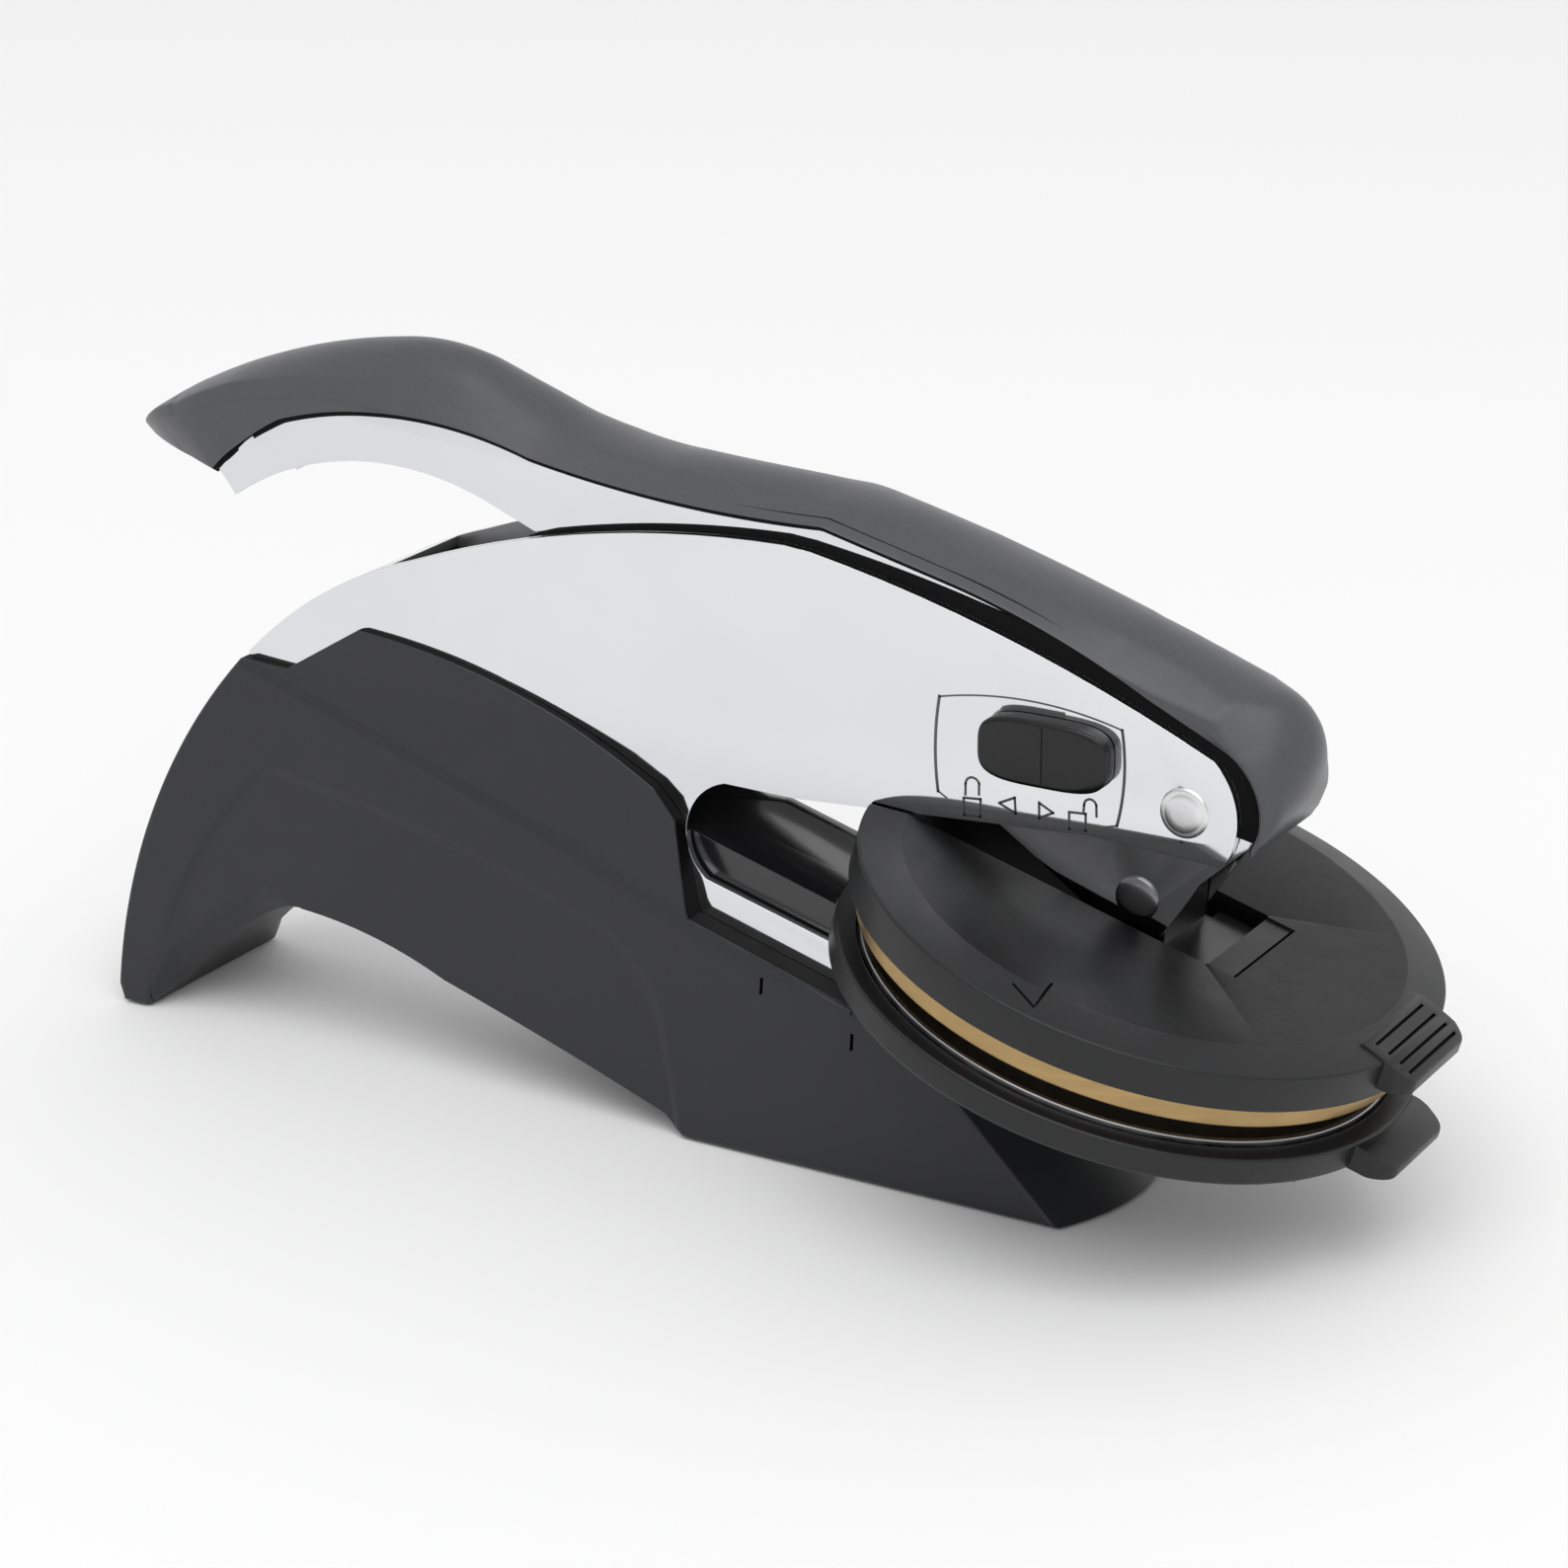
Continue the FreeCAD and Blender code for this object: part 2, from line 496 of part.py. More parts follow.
upright = Rotation()
plateScrews = []
for index, x in enumerate(("ribX", "plateScrewFront")):
    plateScrews.append(screw(
        "plateScrew%d" % (index + 1), (x, "0", "padThick"), upright, "plateScrewHead",
        "plateScrewHeadHeight", "plateScrewRadius", "plateScrewLength"))
    for body in (plateBody, base):
        bores(body, "%s_screw_bore%d" % (body.Label, index), [(x, "0")], "plateScrewRadius",
              "(padThick + plateScrewLength) * 2")
    bores(plateBody, "plateScrewSink%d" % index, [(x, "0")], "plateScrewHead",
          "(padThick + plateScrewHeadHeight) * 2")
group("base_screws", plateScrews)

frameScrews = []
frameScrewPlan = (
    ("frameScrewRear", "hollowTop", deckZ("frameScrewRear", anvilLow) + " + frameScrewBite", anvil),
    ("frameScrewFront", "hollowTop", deckZ("frameScrewFront", anvilLow) + " + frameScrewBite", anvil),
    ("blockX", "blockScrewSeat", "blockZ - blockHeight / 2 + blockScrewBite", block))
for index, (x, seat, tip, held) in enumerate(frameScrewPlan):
    start = "(%s) - frameScrewHeadHeight" % seat
    frameScrews.append(screw(
        "frameScrew%d" % (index + 1), (x, "0", start), upright, "frameScrewHead",
        "frameScrewHeadHeight", "frameScrewRadius", "(%s) - (%s)" % (tip, start)))
    for body in (base, held):
        bores(body, "%s_bolt_bore%d" % (body.Label, index), [(x, "0")], "frameScrewRadius",
              "(%s) * 2" % tip)
bores(base, "blockScrewSink", [("blockX", "0")], "frameScrewHead + seatPlay", "blockScrewSeat * 2")
group("frame_screws", frameScrews)

# ---- pivot axle with its two formed heads ----
axle = turned("pivot_axle", [
    ("0", "-(%s)" % axleSpan), ("axleHead", "-(%s)" % axleSpan), ("axleHead", "-cheekOuter"),
    ("axleRadius", "-cheekOuter"), ("axleRadius", "cheekOuter"), ("axleHead", "cheekOuter"),
    ("axleHead", axleSpan), ("0", axleSpan)])
crossAxis(axle, "pivotX", "pivotZ")

# ---- return spring round the axle ----
coil = newBody("coil", False)
coilSpan = "(coilTurns + (180 - legAngle) / 360) * coilPitch"
wire = newSketch(coil, "coilWire", "XZ_Plane")
circle(wire, coilMean, "-%s / 2" % coilSpan, "coilWire / 2")
helix = coil.newObject("PartDesign::AdditiveHelix", "coilTurn")
helix.Profile = wire
helix.ReferenceAxis = (wire, ["V_Axis"])
helix.Mode = "pitch-height-angle"
bind(helix, "Pitch", "coilPitch")
bind(helix, "Height", coilSpan)
crossAxis(coil, "pivotX", "pivotZ")
coil.Placement.Rotation = coil.Placement.Rotation * Rotation(Vector(0, 0, 1), -90)
legs = []
for name, angle, length, y in (
        ("anchorLeg", "180", "pivotX - anchorX + anchorRadius", coilSpan + " / 2"),
        ("roofLeg", "legAngle", "legLength", "-%s / 2" % coilSpan)):
    leg = document.addObject("Part::Cylinder", name)
    bind(leg, "Radius", "coilWire / 2")
    bind(leg, "Height", length)
    heading = "270" if name == "anchorLeg" else "270 + " + angle
    leg.Placement = Placement(Vector(), Rotation(Vector(0, 1, 0), value(heading)))
    bind(leg, "Placement.Rotation.Angle", "(%s) * 1 deg" % heading)
    bind(leg, "Placement.Base.x", "pivotX + (%s) * sin(%s * 1 deg)" % (coilMean, angle))
    bind(leg, "Placement.Base.y", y)
    bind(leg, "Placement.Base.z", "pivotZ + (%s) * cos(%s * 1 deg)" % (coilMean, angle))
    legs.append(leg)
spring = document.addObject("Part::MultiFuse", "return_spring")
spring.Label = "return_spring"
spring.Shapes = [coil] + legs
parts.append(spring)

# ---- lever ----
def roof(lift):
    """The lever's top edge, a little above the cover's lower edge."""
    return [
        ("lipEndX + roofRise / 3", "lipEndZ + roofRise / 3 + %s" % lift),
        ("lipCurlX - roofRise / 2", "lipCurlZ + roofRise * 0.8 + %s" % lift, "arc"),
        ("lipBackX", "lipBackZ + roofRise + %s" % lift),
        ("lipHumpX", "lipHumpZ + roofRise + %s" % lift, "arc"),
        ("lipWaistX", "lipWaistZ + roofRise + %s" % lift),
        ("lipLowX", "lipLowZ + roofRise + %s" % lift, "arc"),
        ("lipKinkX", "lipKinkZ + roofRise + %s" % lift),
        ("lipSlopeX", "lipSlopeZ + roofRise + %s" % lift, "arc"),
        ("lipFallX", "lipFallZ + roofRise + %s" % lift),
        ("lipCheekX", "lipCheekZ + roofRise + %s" % lift)]


noseSide = [("noseTopX", "noseTopZ"), ("noseX", "noseZ", "arc"), ("noseLowX", "noseLowZ")]
leverSide = roof("0") + noseSide + [
    ("lugFrontX", "lugFrontZ"), ("lugToeX", "lugToeZ"), ("lugRoundX", "lugRoundZ", "arc"),
    ("lugHeelX", "lugHeelZ"), ("lugRearX", "lugRearZ"), ("innerKneeX", "innerKneeZ"),
    ("sinkX", "sinkZ"), ("bellyX", "bellyZ"), ("palmX", "palmZ", "arc"), ("endX", "endZ")]
lever = plate("lever", leverSide, "(%s) * 2" % leverOuter)
leverInside = roof("-leverRoof") + [
    ("noseTopX - leverSheet", "noseTopZ - leverSheet"),
    ("noseX - leverSheet", "noseZ", "arc"), ("noseLowX - leverSheet", "noseLowZ"),
    ("noseLowX - leverSheet", "0"), ("tipX", "0"), ("tipX", "lipEndZ - leverRoof")]
cut(lever, "leverHollow", leverInside, "(%s) * 2" % leverInner)
bores(lever, "leverAxleBore", [("pivotX", "pivotZ")], "axleRadius + runFit", throughAll, "XZ_Plane")
bores(lever, "leverPinBore", [("pinX", "pinZ")], "pinRadius", throughAll, "XZ_Plane")

# window in the near plate: the lock's stem passes over its catch when the lock is on
lockedX = "stemX - lockTravel"
stemRoom = "(stemRadius + stemPlay)"
windowRear = "%s - windowArc - %s" % (lockedX, stemRoom)
windowLow = ("pivotZ + (%s - pivotX) * sin(handleSwing * 1 deg)"
             " + (stemZ - pivotZ) * cos(handleSwing * 1 deg) - %s" % (lockedX, stemRoom))
windowFront = "stemX + " + stemRoom
windowTop = "stemZ + " + stemRoom
catchTop = "stemZ - " + stemRoom
catchLow = catchTop + " - catchHeight"
catchTip = windowRear + " + catchReach"
cut(lever, "lockWindow", [
    (windowRear, windowLow), (windowFront, windowLow), (windowFront, windowTop),
    (windowRear, windowTop), (windowRear, catchTop), (catchTip, catchTop),
    (catchTip, catchLow), (windowRear, catchLow)],
    "leverSheet * 2", offset="%s - leverSheet / 2" % leverOuter)

# ---- handle cover ----
crown = [
    ("tipX", "tipZ"), ("crownRearX", "crownRearZ", "arc"), ("crownRiseX", "lipBackZ + crownRiseTall"),
    ("crownHumpX", "lipHumpZ + crownHumpTall", "arc"), ("crownFallX", "lipWaistZ + crownFallTall"),
    ("crownWaistX", "lipLowZ + crownWaistTall", "arc"), ("crownFlatX", "lipKinkZ + crownFlatTall"),
    ("crownKinkX", "lipKinkZ + crownKinkTall", "arc"), ("crownSlopeX", "lipSlopeZ + crownSlopeTall"),
    ("crownRunX", "lipFallZ + crownRunTall", "arc"), ("crownNoseX", "crownNoseZ"),
    ("beakX", "beakZ", "arc"), ("beakLowX", "beakLowZ"), ("beakEndX", "beakEndZ"),
    ("lipChinX", "lipChinZ"), ("lipNoseX", "lipNoseZ", "arc"), ("lipBrowX", "lipBrowZ"),
    ("lipCheekX", "lipCheekZ"), ("lipFallX", "lipFallZ"), ("lipSlopeX", "lipSlopeZ", "arc"),
    ("lipKinkX", "lipKinkZ"), ("lipLowX", "lipLowZ", "arc"), ("lipWaistX", "lipWaistZ"),
    ("lipHumpX", "lipHumpZ", "arc"), ("lipBackX", "lipBackZ"),
    ("lipCurlX", "lipCurlZ", "arc"), ("lipEndX", "lipEndZ")]
cover = plate("handle_cover", crown, "coverHalf * 2")
tipPlan = newSketch(cover, "tipPlan", "XY_Plane", "lipHumpZ + crownHumpTall")
for side in ("", "-"):
    outline(tipPlan, [
        ("tipX", side + "tipHalf"), ("tipRoundX", side + "tipRoundY", "arc"),
        ("tipFullX", side + "coverHalf"), ("tipFullX", side + "coverHalf * 2"),
        ("tipX - coverHalf", side + "coverHalf * 2"), ("tipX - coverHalf", side + "tipHalf")])
pocket(cover, tipPlan, "lipHumpZ + crownHumpTall")
leverRoom = roof("0") + noseSide + [("noseLowX", "0"), ("lipEndX + roofRise / 3", "0")]
cut(cover, "leverRoom", leverRoom, "(%s + coverPlay) * 2" % leverOuter)

coverScrews = []
for index, (x, z) in enumerate((("lipHumpX", "lipHumpZ"), ("lipLowX", "lipLowZ"))):
    under = "%s + roofRise - leverRoof - coverScrewGap" % z
    start = "%s - coverScrewHeadHeight" % under
    length = "coverScrewHeadHeight + coverScrewGap + leverRoof + coverScrewLength"
    coverScrews.append(screw(
        "coverScrew%d" % (index + 1), (x, "0", start), upright, "coverScrewHead",
        "coverScrewHeadHeight", "coverScrewRadius", length))
    for body in (lever, cover):
        bores(body, "%s_screw_bore%d" % (body.Label, index), [(x, "0")], "coverScrewRadius",
              "(%s + %s) * 2" % (start, length))
group("cover_screws", coverScrews)

# ---- bush and press pin, which turn with the lever ----
bush = turned("pivot_bush", rectangle(
    "axleRadius + runFit", "-(%s)" % leverInner, "axleRadius + runFit + bushWall", leverInner))
crossAxis(bush, "pivotX", "pivotZ")
headRim = leverOuter + " + pinHeadRim"
headTop = leverOuter + " + pinHeadRise"
pressPin = turned("press_pin", [
    ("0", "-(%s)" % headTop), ("pinCrown", "-(%s)" % headTop), ("pinHead", "-(%s)" % headRim),
    ("pinHead", "-(%s)" % leverOuter), ("pinRadius", "-(%s)" % leverOuter),
    ("pinRadius", leverOuter), ("pinHead", leverOuter), ("pinHead", headRim),
    ("pinCrown", headTop), ("0", headTop)])
crossAxis(pressPin, "pinX", "pinZ")

# ---- press shoe: hangs on the pin, its tongue hooks under the top disc's bar ----
pinAlong = alongDisc("pinX", "pinZ")
pinAbove = aboveDisc("pinX", "pinZ")
tongueLow = "tongueTop - tongueThick"
shoeSide = [
    (pinAlong + " + shoeRear", tongueLow), (pinAlong + " + shoeRear", pinAbove),
    (pinAlong, pinAbove + " + shoeTop", "arc"), (pinAlong + " - shoeRear * 0.7", pinAbove),
    (pinAlong + " + shoeNose", "tongueTop"), ("tongueReach", "tongueTop"),
    ("tongueReach", tongueLow)]
shoe = tilted(plate("press_shoe", shoeSide, "shoeHalf * 2"))
tongue = newSketch(shoe, "tongue", "XZ_Plane")
outline(tongue, rectangle("tongueWide", tongueLow, "tongueReach", "tongueTop"))
pad(shoe, tongue, "tongueHalf * 2")
bores(shoe, "shoeBore", [(pinAlong, pinAbove)], "pinRadius + runFit", throughAll, "XZ_Plane")

# ---- lock: button, stem and retaining clip ----
buttonOut = "cheekOuter + buttonProud"
buttonIn = "cheekOuter + buttonGap"
button = newBody("lock_button")
buttonFace = newSketch(button, "buttonFace", "XZ_Plane", "(%s + %s) / 2" % (buttonOut, buttonIn))
bx0, bx1 = "lockX - buttonLength / 2", "lockX + buttonLength / 2"
bz0, bz1 = "lockZ - buttonHeight / 2", "lockZ + buttonHeight / 2"
bulge = "buttonCorner * 0.2929"
outline(buttonFace, [
    (bx0 + " + buttonCorner", bz0), (bx1 + " - buttonCorner", bz0),
    (bx1 + " - " + bulge, bz0 + " + " + bulge, "arc"), (bx1, bz0 + " + buttonCorner"),
    (bx1, bz1 + " - buttonCorner"), (bx1 + " - " + bulge, bz1 + " - " + bulge, "arc"),
    (bx1 + " - buttonCorner", bz1), (bx0 + " + buttonCorner", bz1),
    (bx0 + " + " + bulge, bz1 + " - " + bulge, "arc"), (bx0, bz1 + " - buttonCorner"),
    (bx0, bz0 + " + buttonCorner"), (bx0 + " + " + bulge, bz0 + " + " + bulge, "arc")])
pad(button, buttonFace, "buttonProud - buttonGap")
cut(button, "thumbGroove", rectangle("lockX - groove / 2", bz0, "lockX + groove / 2", bz1),
    "groove", offset=buttonOut)
bores(button, "stemSeat", [("stemX", "stemZ")], "stemRadius", "stemSeat * 2", "XZ_Plane", buttonIn)
clipIn = "%s - clipGap - clipThick" % leverInner
stem = turned("lock_stem", rectangle("0", clipIn + " - clipGap", "stemRadius", buttonIn + " + stemSeat"))
crossAxis(stem, "stemX", "stemZ")
clip = turned("lock_clip", rectangle("stemRadius", clipIn, "clipRadius", clipIn + " + clipThick"))
crossAxis(clip, "stemX", "stemZ")

# ---- insert: slide block, lower disc, plates and dies ----
tailFront = "-rimRadius - seatPlay"
slide = tilted(plate("slide_block", [
    ("tailRear", slideBottom), ("tailRear", "ridgeRear"), ("crestRear", "crestHeight"),
    (tailFront, "crestHeight"), (tailFront, holderBottom), ("slideFront", holderBottom),
    ("slideFront", slideBottom)], "(%s) * 2" % slideHalf))
flanks = newSketch(slide, "flanks", "YZ_Plane", "(tailRear + %s) / 2" % tailFront)
for side in ("", "-"):
    outline(flanks, [
        (side + "(%s + seatPlay)" % slideHalf, "ridge"), (side + "hollowY", "hollowZ", "arc"),
        (side + "crestHalf", "crestHeight"), (side + "crestHalf", "cutHead"),
        (side + "(%s + seatPlay)" % slideHalf, "cutHead")])
pocket(slide, flanks, "%s - tailRear" % tailFront)

recess = "rimRadius - silverInset + seatPlay"
lower = tilted(turned("lower_disc", [
    ("0", holderBottom), ("rimRadius", holderBottom), ("rimRadius", lowerRim),
    (recess, lowerRim), (recess, silverBottom), ("0", silverBottom)]))
lowTab = newSketch(lower, "lowTab", "XZ_Plane")
outline(lowTab, [
    (recess, lowerRim), ("rimRadius + lowTabLength", lowerRim + " - lowTabDroop"),
    ("rimRadius + lowTabLength", lowerRim + " - lowTabDroop - tabThick / 2"),
    ("rimRadius + tabThick", holderBottom), (recess, holderBottom)])
pad(lower, lowTab, "lowTabHalf * 2")
silver = tilted(turned("lower_plate", rectangle("0", silverBottom, "rimRadius - silverInset", silverTop)))
tilted(turned("lower_die", rectangle("0", silverTop, "dieRadius", lowerFace)))

posts = [polar("rimRadius - postInset", side + "postAngle") for side in ("", "-")]
postFoot = holderBottom
group("guide_posts", [tilted(newBody("post%d" % (index + 1), False)) for index in range(len(posts))])
for index, place in enumerate(posts):
    body = document.getObject("post%d" % (index + 1))
    sketch = newSketch(body, "postSection%d" % (index + 1), "XY_Plane", "(%s + postTop) / 2" % postFoot)
    circle(sketch, place[0], place[1], "postRadius")
    pad(body, sketch, "postTop - (%s)" % postFoot)
for body, radius in ((lower, "postRadius"), (silver, "postRadius")):
    bores(body, body.Label + "_post_bores", posts, radius, "rimRadius * 2")

springMean = "postRadius + springRoom + springWire / 2"
liftSprings = []
for index, place in enumerate(posts):
    body = newBody("liftSpring%d" % (index + 1), False)
    body.Placement = Placement(Vector(), Rotation(Vector(0, 1, 0), value("discTilt")))
    bind(body, "Placement.Rotation.Angle", "discTilt * 1 deg")
    foot = silverTop + " + springEnd"
    bind(body, "Placement.Base.x", worldX(place[0], foot))
    bind(body, "Placement.Base.y", place[1])
    bind(body, "Placement.Base.z", worldZ(place[0], foot))
    section = newSketch(body, "springSection%d" % (index + 1), "XZ_Plane")
    circle(section, springMean, "0", "springWire / 2")
    helix = body.newObject("PartDesign::AdditiveHelix", "springTurn%d" % (index + 1))
    helix.Profile = section
    helix.ReferenceAxis = (section, ["V_Axis"])
    helix.Mode = "pitch-height-angle"
    bind(helix, "Pitch", "springPitch")
    bind(helix, "Height", "upperDieRaise + dieGap + lowerDieRaise - springEnd * 2")
    liftSprings.append(body)
group("lift_springs", liftSprings)

holderScrews = []
for index, side in enumerate(("-", "")):
    along = side + "holderScrewAlong"
    body = turned("holderScrew%d" % (index + 1), [
        ("0", "0"), ("holderScrewHead", "0"), ("holderScrewHead", "-holderScrewHeadHeight"),
        ("holderScrewShank", "-holderScrewHeadHeight"), ("holderScrewShank", "-holderScrewLength"),
        ("0", "-holderScrewLength")], False)
    body.Placement = Placement(Vector(), Rotation(Vector(0, 1, 0), value("discTilt")))
    bind(body, "Placement.Rotation.Angle", "discTilt * 1 deg")
    bind(body, "Placement.Base.x", worldX(along, silverBottom))
    bind(body, "Placement.Base.z", worldZ(along, silverBottom))
    holderScrews.append(body)
screwPlaces = [("-holderScrewAlong", "0"), ("holderScrewAlong", "0")]
for body in (lower, slide):
    bores(body, body.Label + "_screw_bores", screwPlaces, "holderScrewShank",
          "holderScrewLength * 2", offset=silverBottom)
bores(lower, "holderScrewSink", screwPlaces, "holderScrewHead", "holderScrewHeadHeight * 2",
      offset=silverBottom)
group("disc_screws", holderScrews)

# ---- top disc, its brass plate and die ----
upper = tilted(turned("upper_disc", [
    ("0", brassTop), ("rimRadius", brassTop), ("rimRadius", "0"),
    ("rimRadius - rimSlope", "plateauRise"), ("0", "plateauRise")]))
tabRoot = "rimRadius - tabBury"
tabEnd = "rimRadius + tabLength"
upTab = newSketch(upper, "upTab", "XZ_Plane")
outline(upTab, [
    (tabRoot, "tabCrest"), ("rimRadius", "tabCrest"), (tabEnd, "tabCrest - tabDroop"),
    (tabEnd, "tabCrest - tabDroop - tabThick / 2"),
    ("rimRadius", "tabCrest - tabDroop - tabThick"), (tabRoot, "tabCrest - tabDroop - tabThick")])
pad(upper, upTab, "tabHalf * 2")
reliefRear = (aboveDisc("jawRearX", "jawRearZ"), alongDisc("jawRearX", "jawRearZ"))
reliefFall = "((%s) - (%s)) / ((%s) - (%s))" % (
    aboveDisc("jawX", "jawZ"), reliefRear[0], alongDisc("jawX", "jawZ"), reliefRear[1])


def reliefLevel(along):
    """Highest level that clears the cheek's lower edge when the disc is lifted."""
    return "%s + (%s - (%s)) * %s - dieLift - slotClearance" % (
        reliefRear[0], along, reliefRear[1], reliefFall)


cut(upper, "shoeSlot", [
    ("-reliefEnd", "cutHead"), ("barRear", "cutHead"), ("barRear", "barUnder"),
    ("shoePocket", "barUnder"), ("shoePocket", "slotFloor"), ("-reliefEnd", "slotFloor")],
    "(%s) * 2" % slotHalf)
cut(upper, "cheekRelief", [
    ("-reliefEnd", reliefLevel("-reliefEnd")), ("-dieRadius / 2", reliefLevel("-dieRadius / 2")),
    ("-dieRadius / 2", "cutHead * 2"), ("-reliefEnd", "cutHead * 2")], "(%s) * 2" % slotHalf)
cut(upper, "barGroove", rectangle(
    "barGroove - barGrooveWidth / 2", "plateauRise - barGrooveDepth",
    "barGroove + barGrooveWidth / 2", "cutHead"), "(%s) * 2" % slotHalf)
brass = tilted(turned("brass_plate", rectangle("0", brassBottom, "rimRadius - brassInset", brassTop)))
tilted(turned("upper_die", rectangle("0", upperFace, "dieRadius", brassBottom)))
bores(upper, "upperPostBores", posts, "postRadius + runFit", "(postHoleTop + upperWall) * 2",
      offset=brassTop)
bores(brass, "brassPostBores", posts, "postRadius + runFit", "brassThick * 4", offset=brassTop)
dieScrewPlaces = [polar("rimRadius - postInset", side + angle) for side in ("", "-")
                  for angle in ("dieScrewFirst", "dieScrewSecond")]
dieScrews = []
for index, (x, y) in enumerate(dieScrewPlaces):
    body = newBody("dieScrew%d" % (index + 1), False)
    for name, radius, low, high in (
            ("Head", "smallHead", "0", "smallHeadHeight"),
            ("Shank", "smallShank", "0", "smallHeadHeight + smallLength")):
        sketch = newSketch(body, "dieScrew%s%d" % (name, index + 1), "XY_Plane",
                           "%s + ((%s) + (%s)) / 2" % (brassBottom, low, high))
        circle(sketch, x, y, radius)
        pad(body, sketch, "(%s) - (%s)" % (high, low))
    dieScrews.append(tilted(body))
for body in (brass, upper):
    bores(body, body.Label + "_screw_bores", dieScrewPlaces, "smallShank",
          "(smallHeadHeight + smallLength) * 2", offset=brassBottom)
bores(brass, "dieScrewSinks", dieScrewPlaces, "smallHead", "smallHeadHeight * 2", offset=brassBottom)
group("die_screws", dieScrews)

# ---- check and write ----
document.recompute()
for item in document.Objects:
    if "Invalid" in item.State or "Error" in item.State:
        raise RuntimeError("%s failed: %s" % (item.Label, item.State))
for part in parts:
    if part.Shape.isNull() or not part.Shape.isValid() or not part.Shape.Solids:
        raise RuntimeError("%s has no valid shape" % part.Label)
os.makedirs("parts", exist_ok=True)
for part in parts:
    part.Shape.exportStep(os.path.join("parts", part.Label + ".step"))
    box = part.Shape.BoundBox
    print("%-14s %2d solid %9.1f mm3  x %6.1f %6.1f  y %6.1f %6.1f  z %6.1f %6.1f" % (
        part.Label, len(part.Shape.Solids), part.Shape.Volume,
        box.XMin, box.XMax, box.YMin, box.YMax, box.ZMin, box.ZMax))
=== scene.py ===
import bmesh
import bpy
import math
import numpy as np
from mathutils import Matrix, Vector


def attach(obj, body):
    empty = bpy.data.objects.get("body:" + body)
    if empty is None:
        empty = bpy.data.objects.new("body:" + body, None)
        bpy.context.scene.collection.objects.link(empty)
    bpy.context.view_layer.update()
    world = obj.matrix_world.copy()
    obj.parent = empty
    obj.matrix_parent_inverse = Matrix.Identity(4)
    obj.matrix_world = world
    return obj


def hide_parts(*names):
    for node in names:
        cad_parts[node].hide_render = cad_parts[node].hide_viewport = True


# Seal embosser, dressed. Sizes in the dictionaries are millimetres in the part's frame:
# +X to the dies, +Z up, the near side is -Y. Everything goes to Blender in metres.

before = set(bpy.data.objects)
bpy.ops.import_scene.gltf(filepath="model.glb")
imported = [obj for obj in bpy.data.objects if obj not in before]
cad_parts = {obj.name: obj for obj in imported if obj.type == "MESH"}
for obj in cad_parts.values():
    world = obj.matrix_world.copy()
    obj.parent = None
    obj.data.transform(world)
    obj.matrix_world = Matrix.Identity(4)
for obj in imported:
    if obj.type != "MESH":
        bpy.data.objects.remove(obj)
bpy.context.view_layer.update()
mm = 0.001
weld = 2e-6     # metres: points nearer than this become one
print("frame loaded:", len(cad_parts), "nodes")


def arcThrough(first, middle, last, count=24):
    # points of the circle through three points, from first to last by way of middle
    (ax, az), (bx, bz), (cx, cz) = first, middle, last
    d = 2 * (ax * (bz - cz) + bx * (cz - az) + cx * (az - bz))
    a2, b2, c2 = ax * ax + az * az, bx * bx + bz * bz, cx * cx + cz * cz
    x = (a2 * (bz - cz) + b2 * (cz - az) + c2 * (az - bz)) / d
    z = (a2 * (cx - bx) + b2 * (ax - cx) + c2 * (bx - ax)) / d
    turn = np.unwrap([math.atan2(pz - z, px - x) for px, pz in (first, middle, last)])
    radius = math.hypot(ax - x, az - z)
    angle = np.linspace(turn[0], turn[2], count)
    return np.c_[x + radius * np.cos(angle), z + radius * np.sin(angle)]


def drawLine(points, step=0.4):
    # a path of points; one that ends in "arc" is passed by an arc. Even steps, corners kept
    pieces, index = [np.array([points[0][:2]], float)], 0
    while index < len(points) - 1:
        start, following = points[index][:2], points[index + 1]
        if len(following) == 3:
            pieces.append(arcThrough(start, following[:2], points[index + 2][:2], 60)[1:])
            index += 2
        else:
            pieces.append(np.array([following], float))
            index += 1
    line = np.vstack(pieces)
    length = np.r_[0, np.cumsum(np.hypot(*np.diff(line, axis=0).T))]
    keep = np.r_[True, np.diff(length) > 1e-9]
    line, length = line[keep], length[keep]
    corners = length[[np.argmin(np.hypot(*(line - p[:2]).T)) for p in points if len(p) == 2]]
    even = np.unique(np.round(np.r_[np.arange(0, length[-1], step), corners], 4))
    return np.c_[np.interp(even, length, line[:, 0]), np.interp(even, length, line[:, 1])]


def gapTo(points, line, batch=4000):
    # distance from each point to the nearest stretch of a polyline
    a, b = line[:-1], line[1:]
    run = b - a
    size = np.maximum((run ** 2).sum(1), 1e-12)
    best = np.full(len(points), 1e9)
    for start in range(0, len(points), batch):
        p = points[start:start + batch, None, :]
        share = np.clip(((p - a) * run).sum(2) / size, 0, 1)
        off = p - (a + share[..., None] * run)
        best[start:start + batch] = np.sqrt((off ** 2).sum(2).min(1))
    return best


def ease(value, low, high):
    # 0 below low, 1 above high, an S-curve between
    share = np.clip((value - low) / (high - low), 0, 1)
    return share * share * (3 - 2 * share)


def placed(name, data):
    # a new object at the origin
    item = bpy.data.objects.new(name, data)
    bpy.context.scene.collection.objects.link(item)
    return item


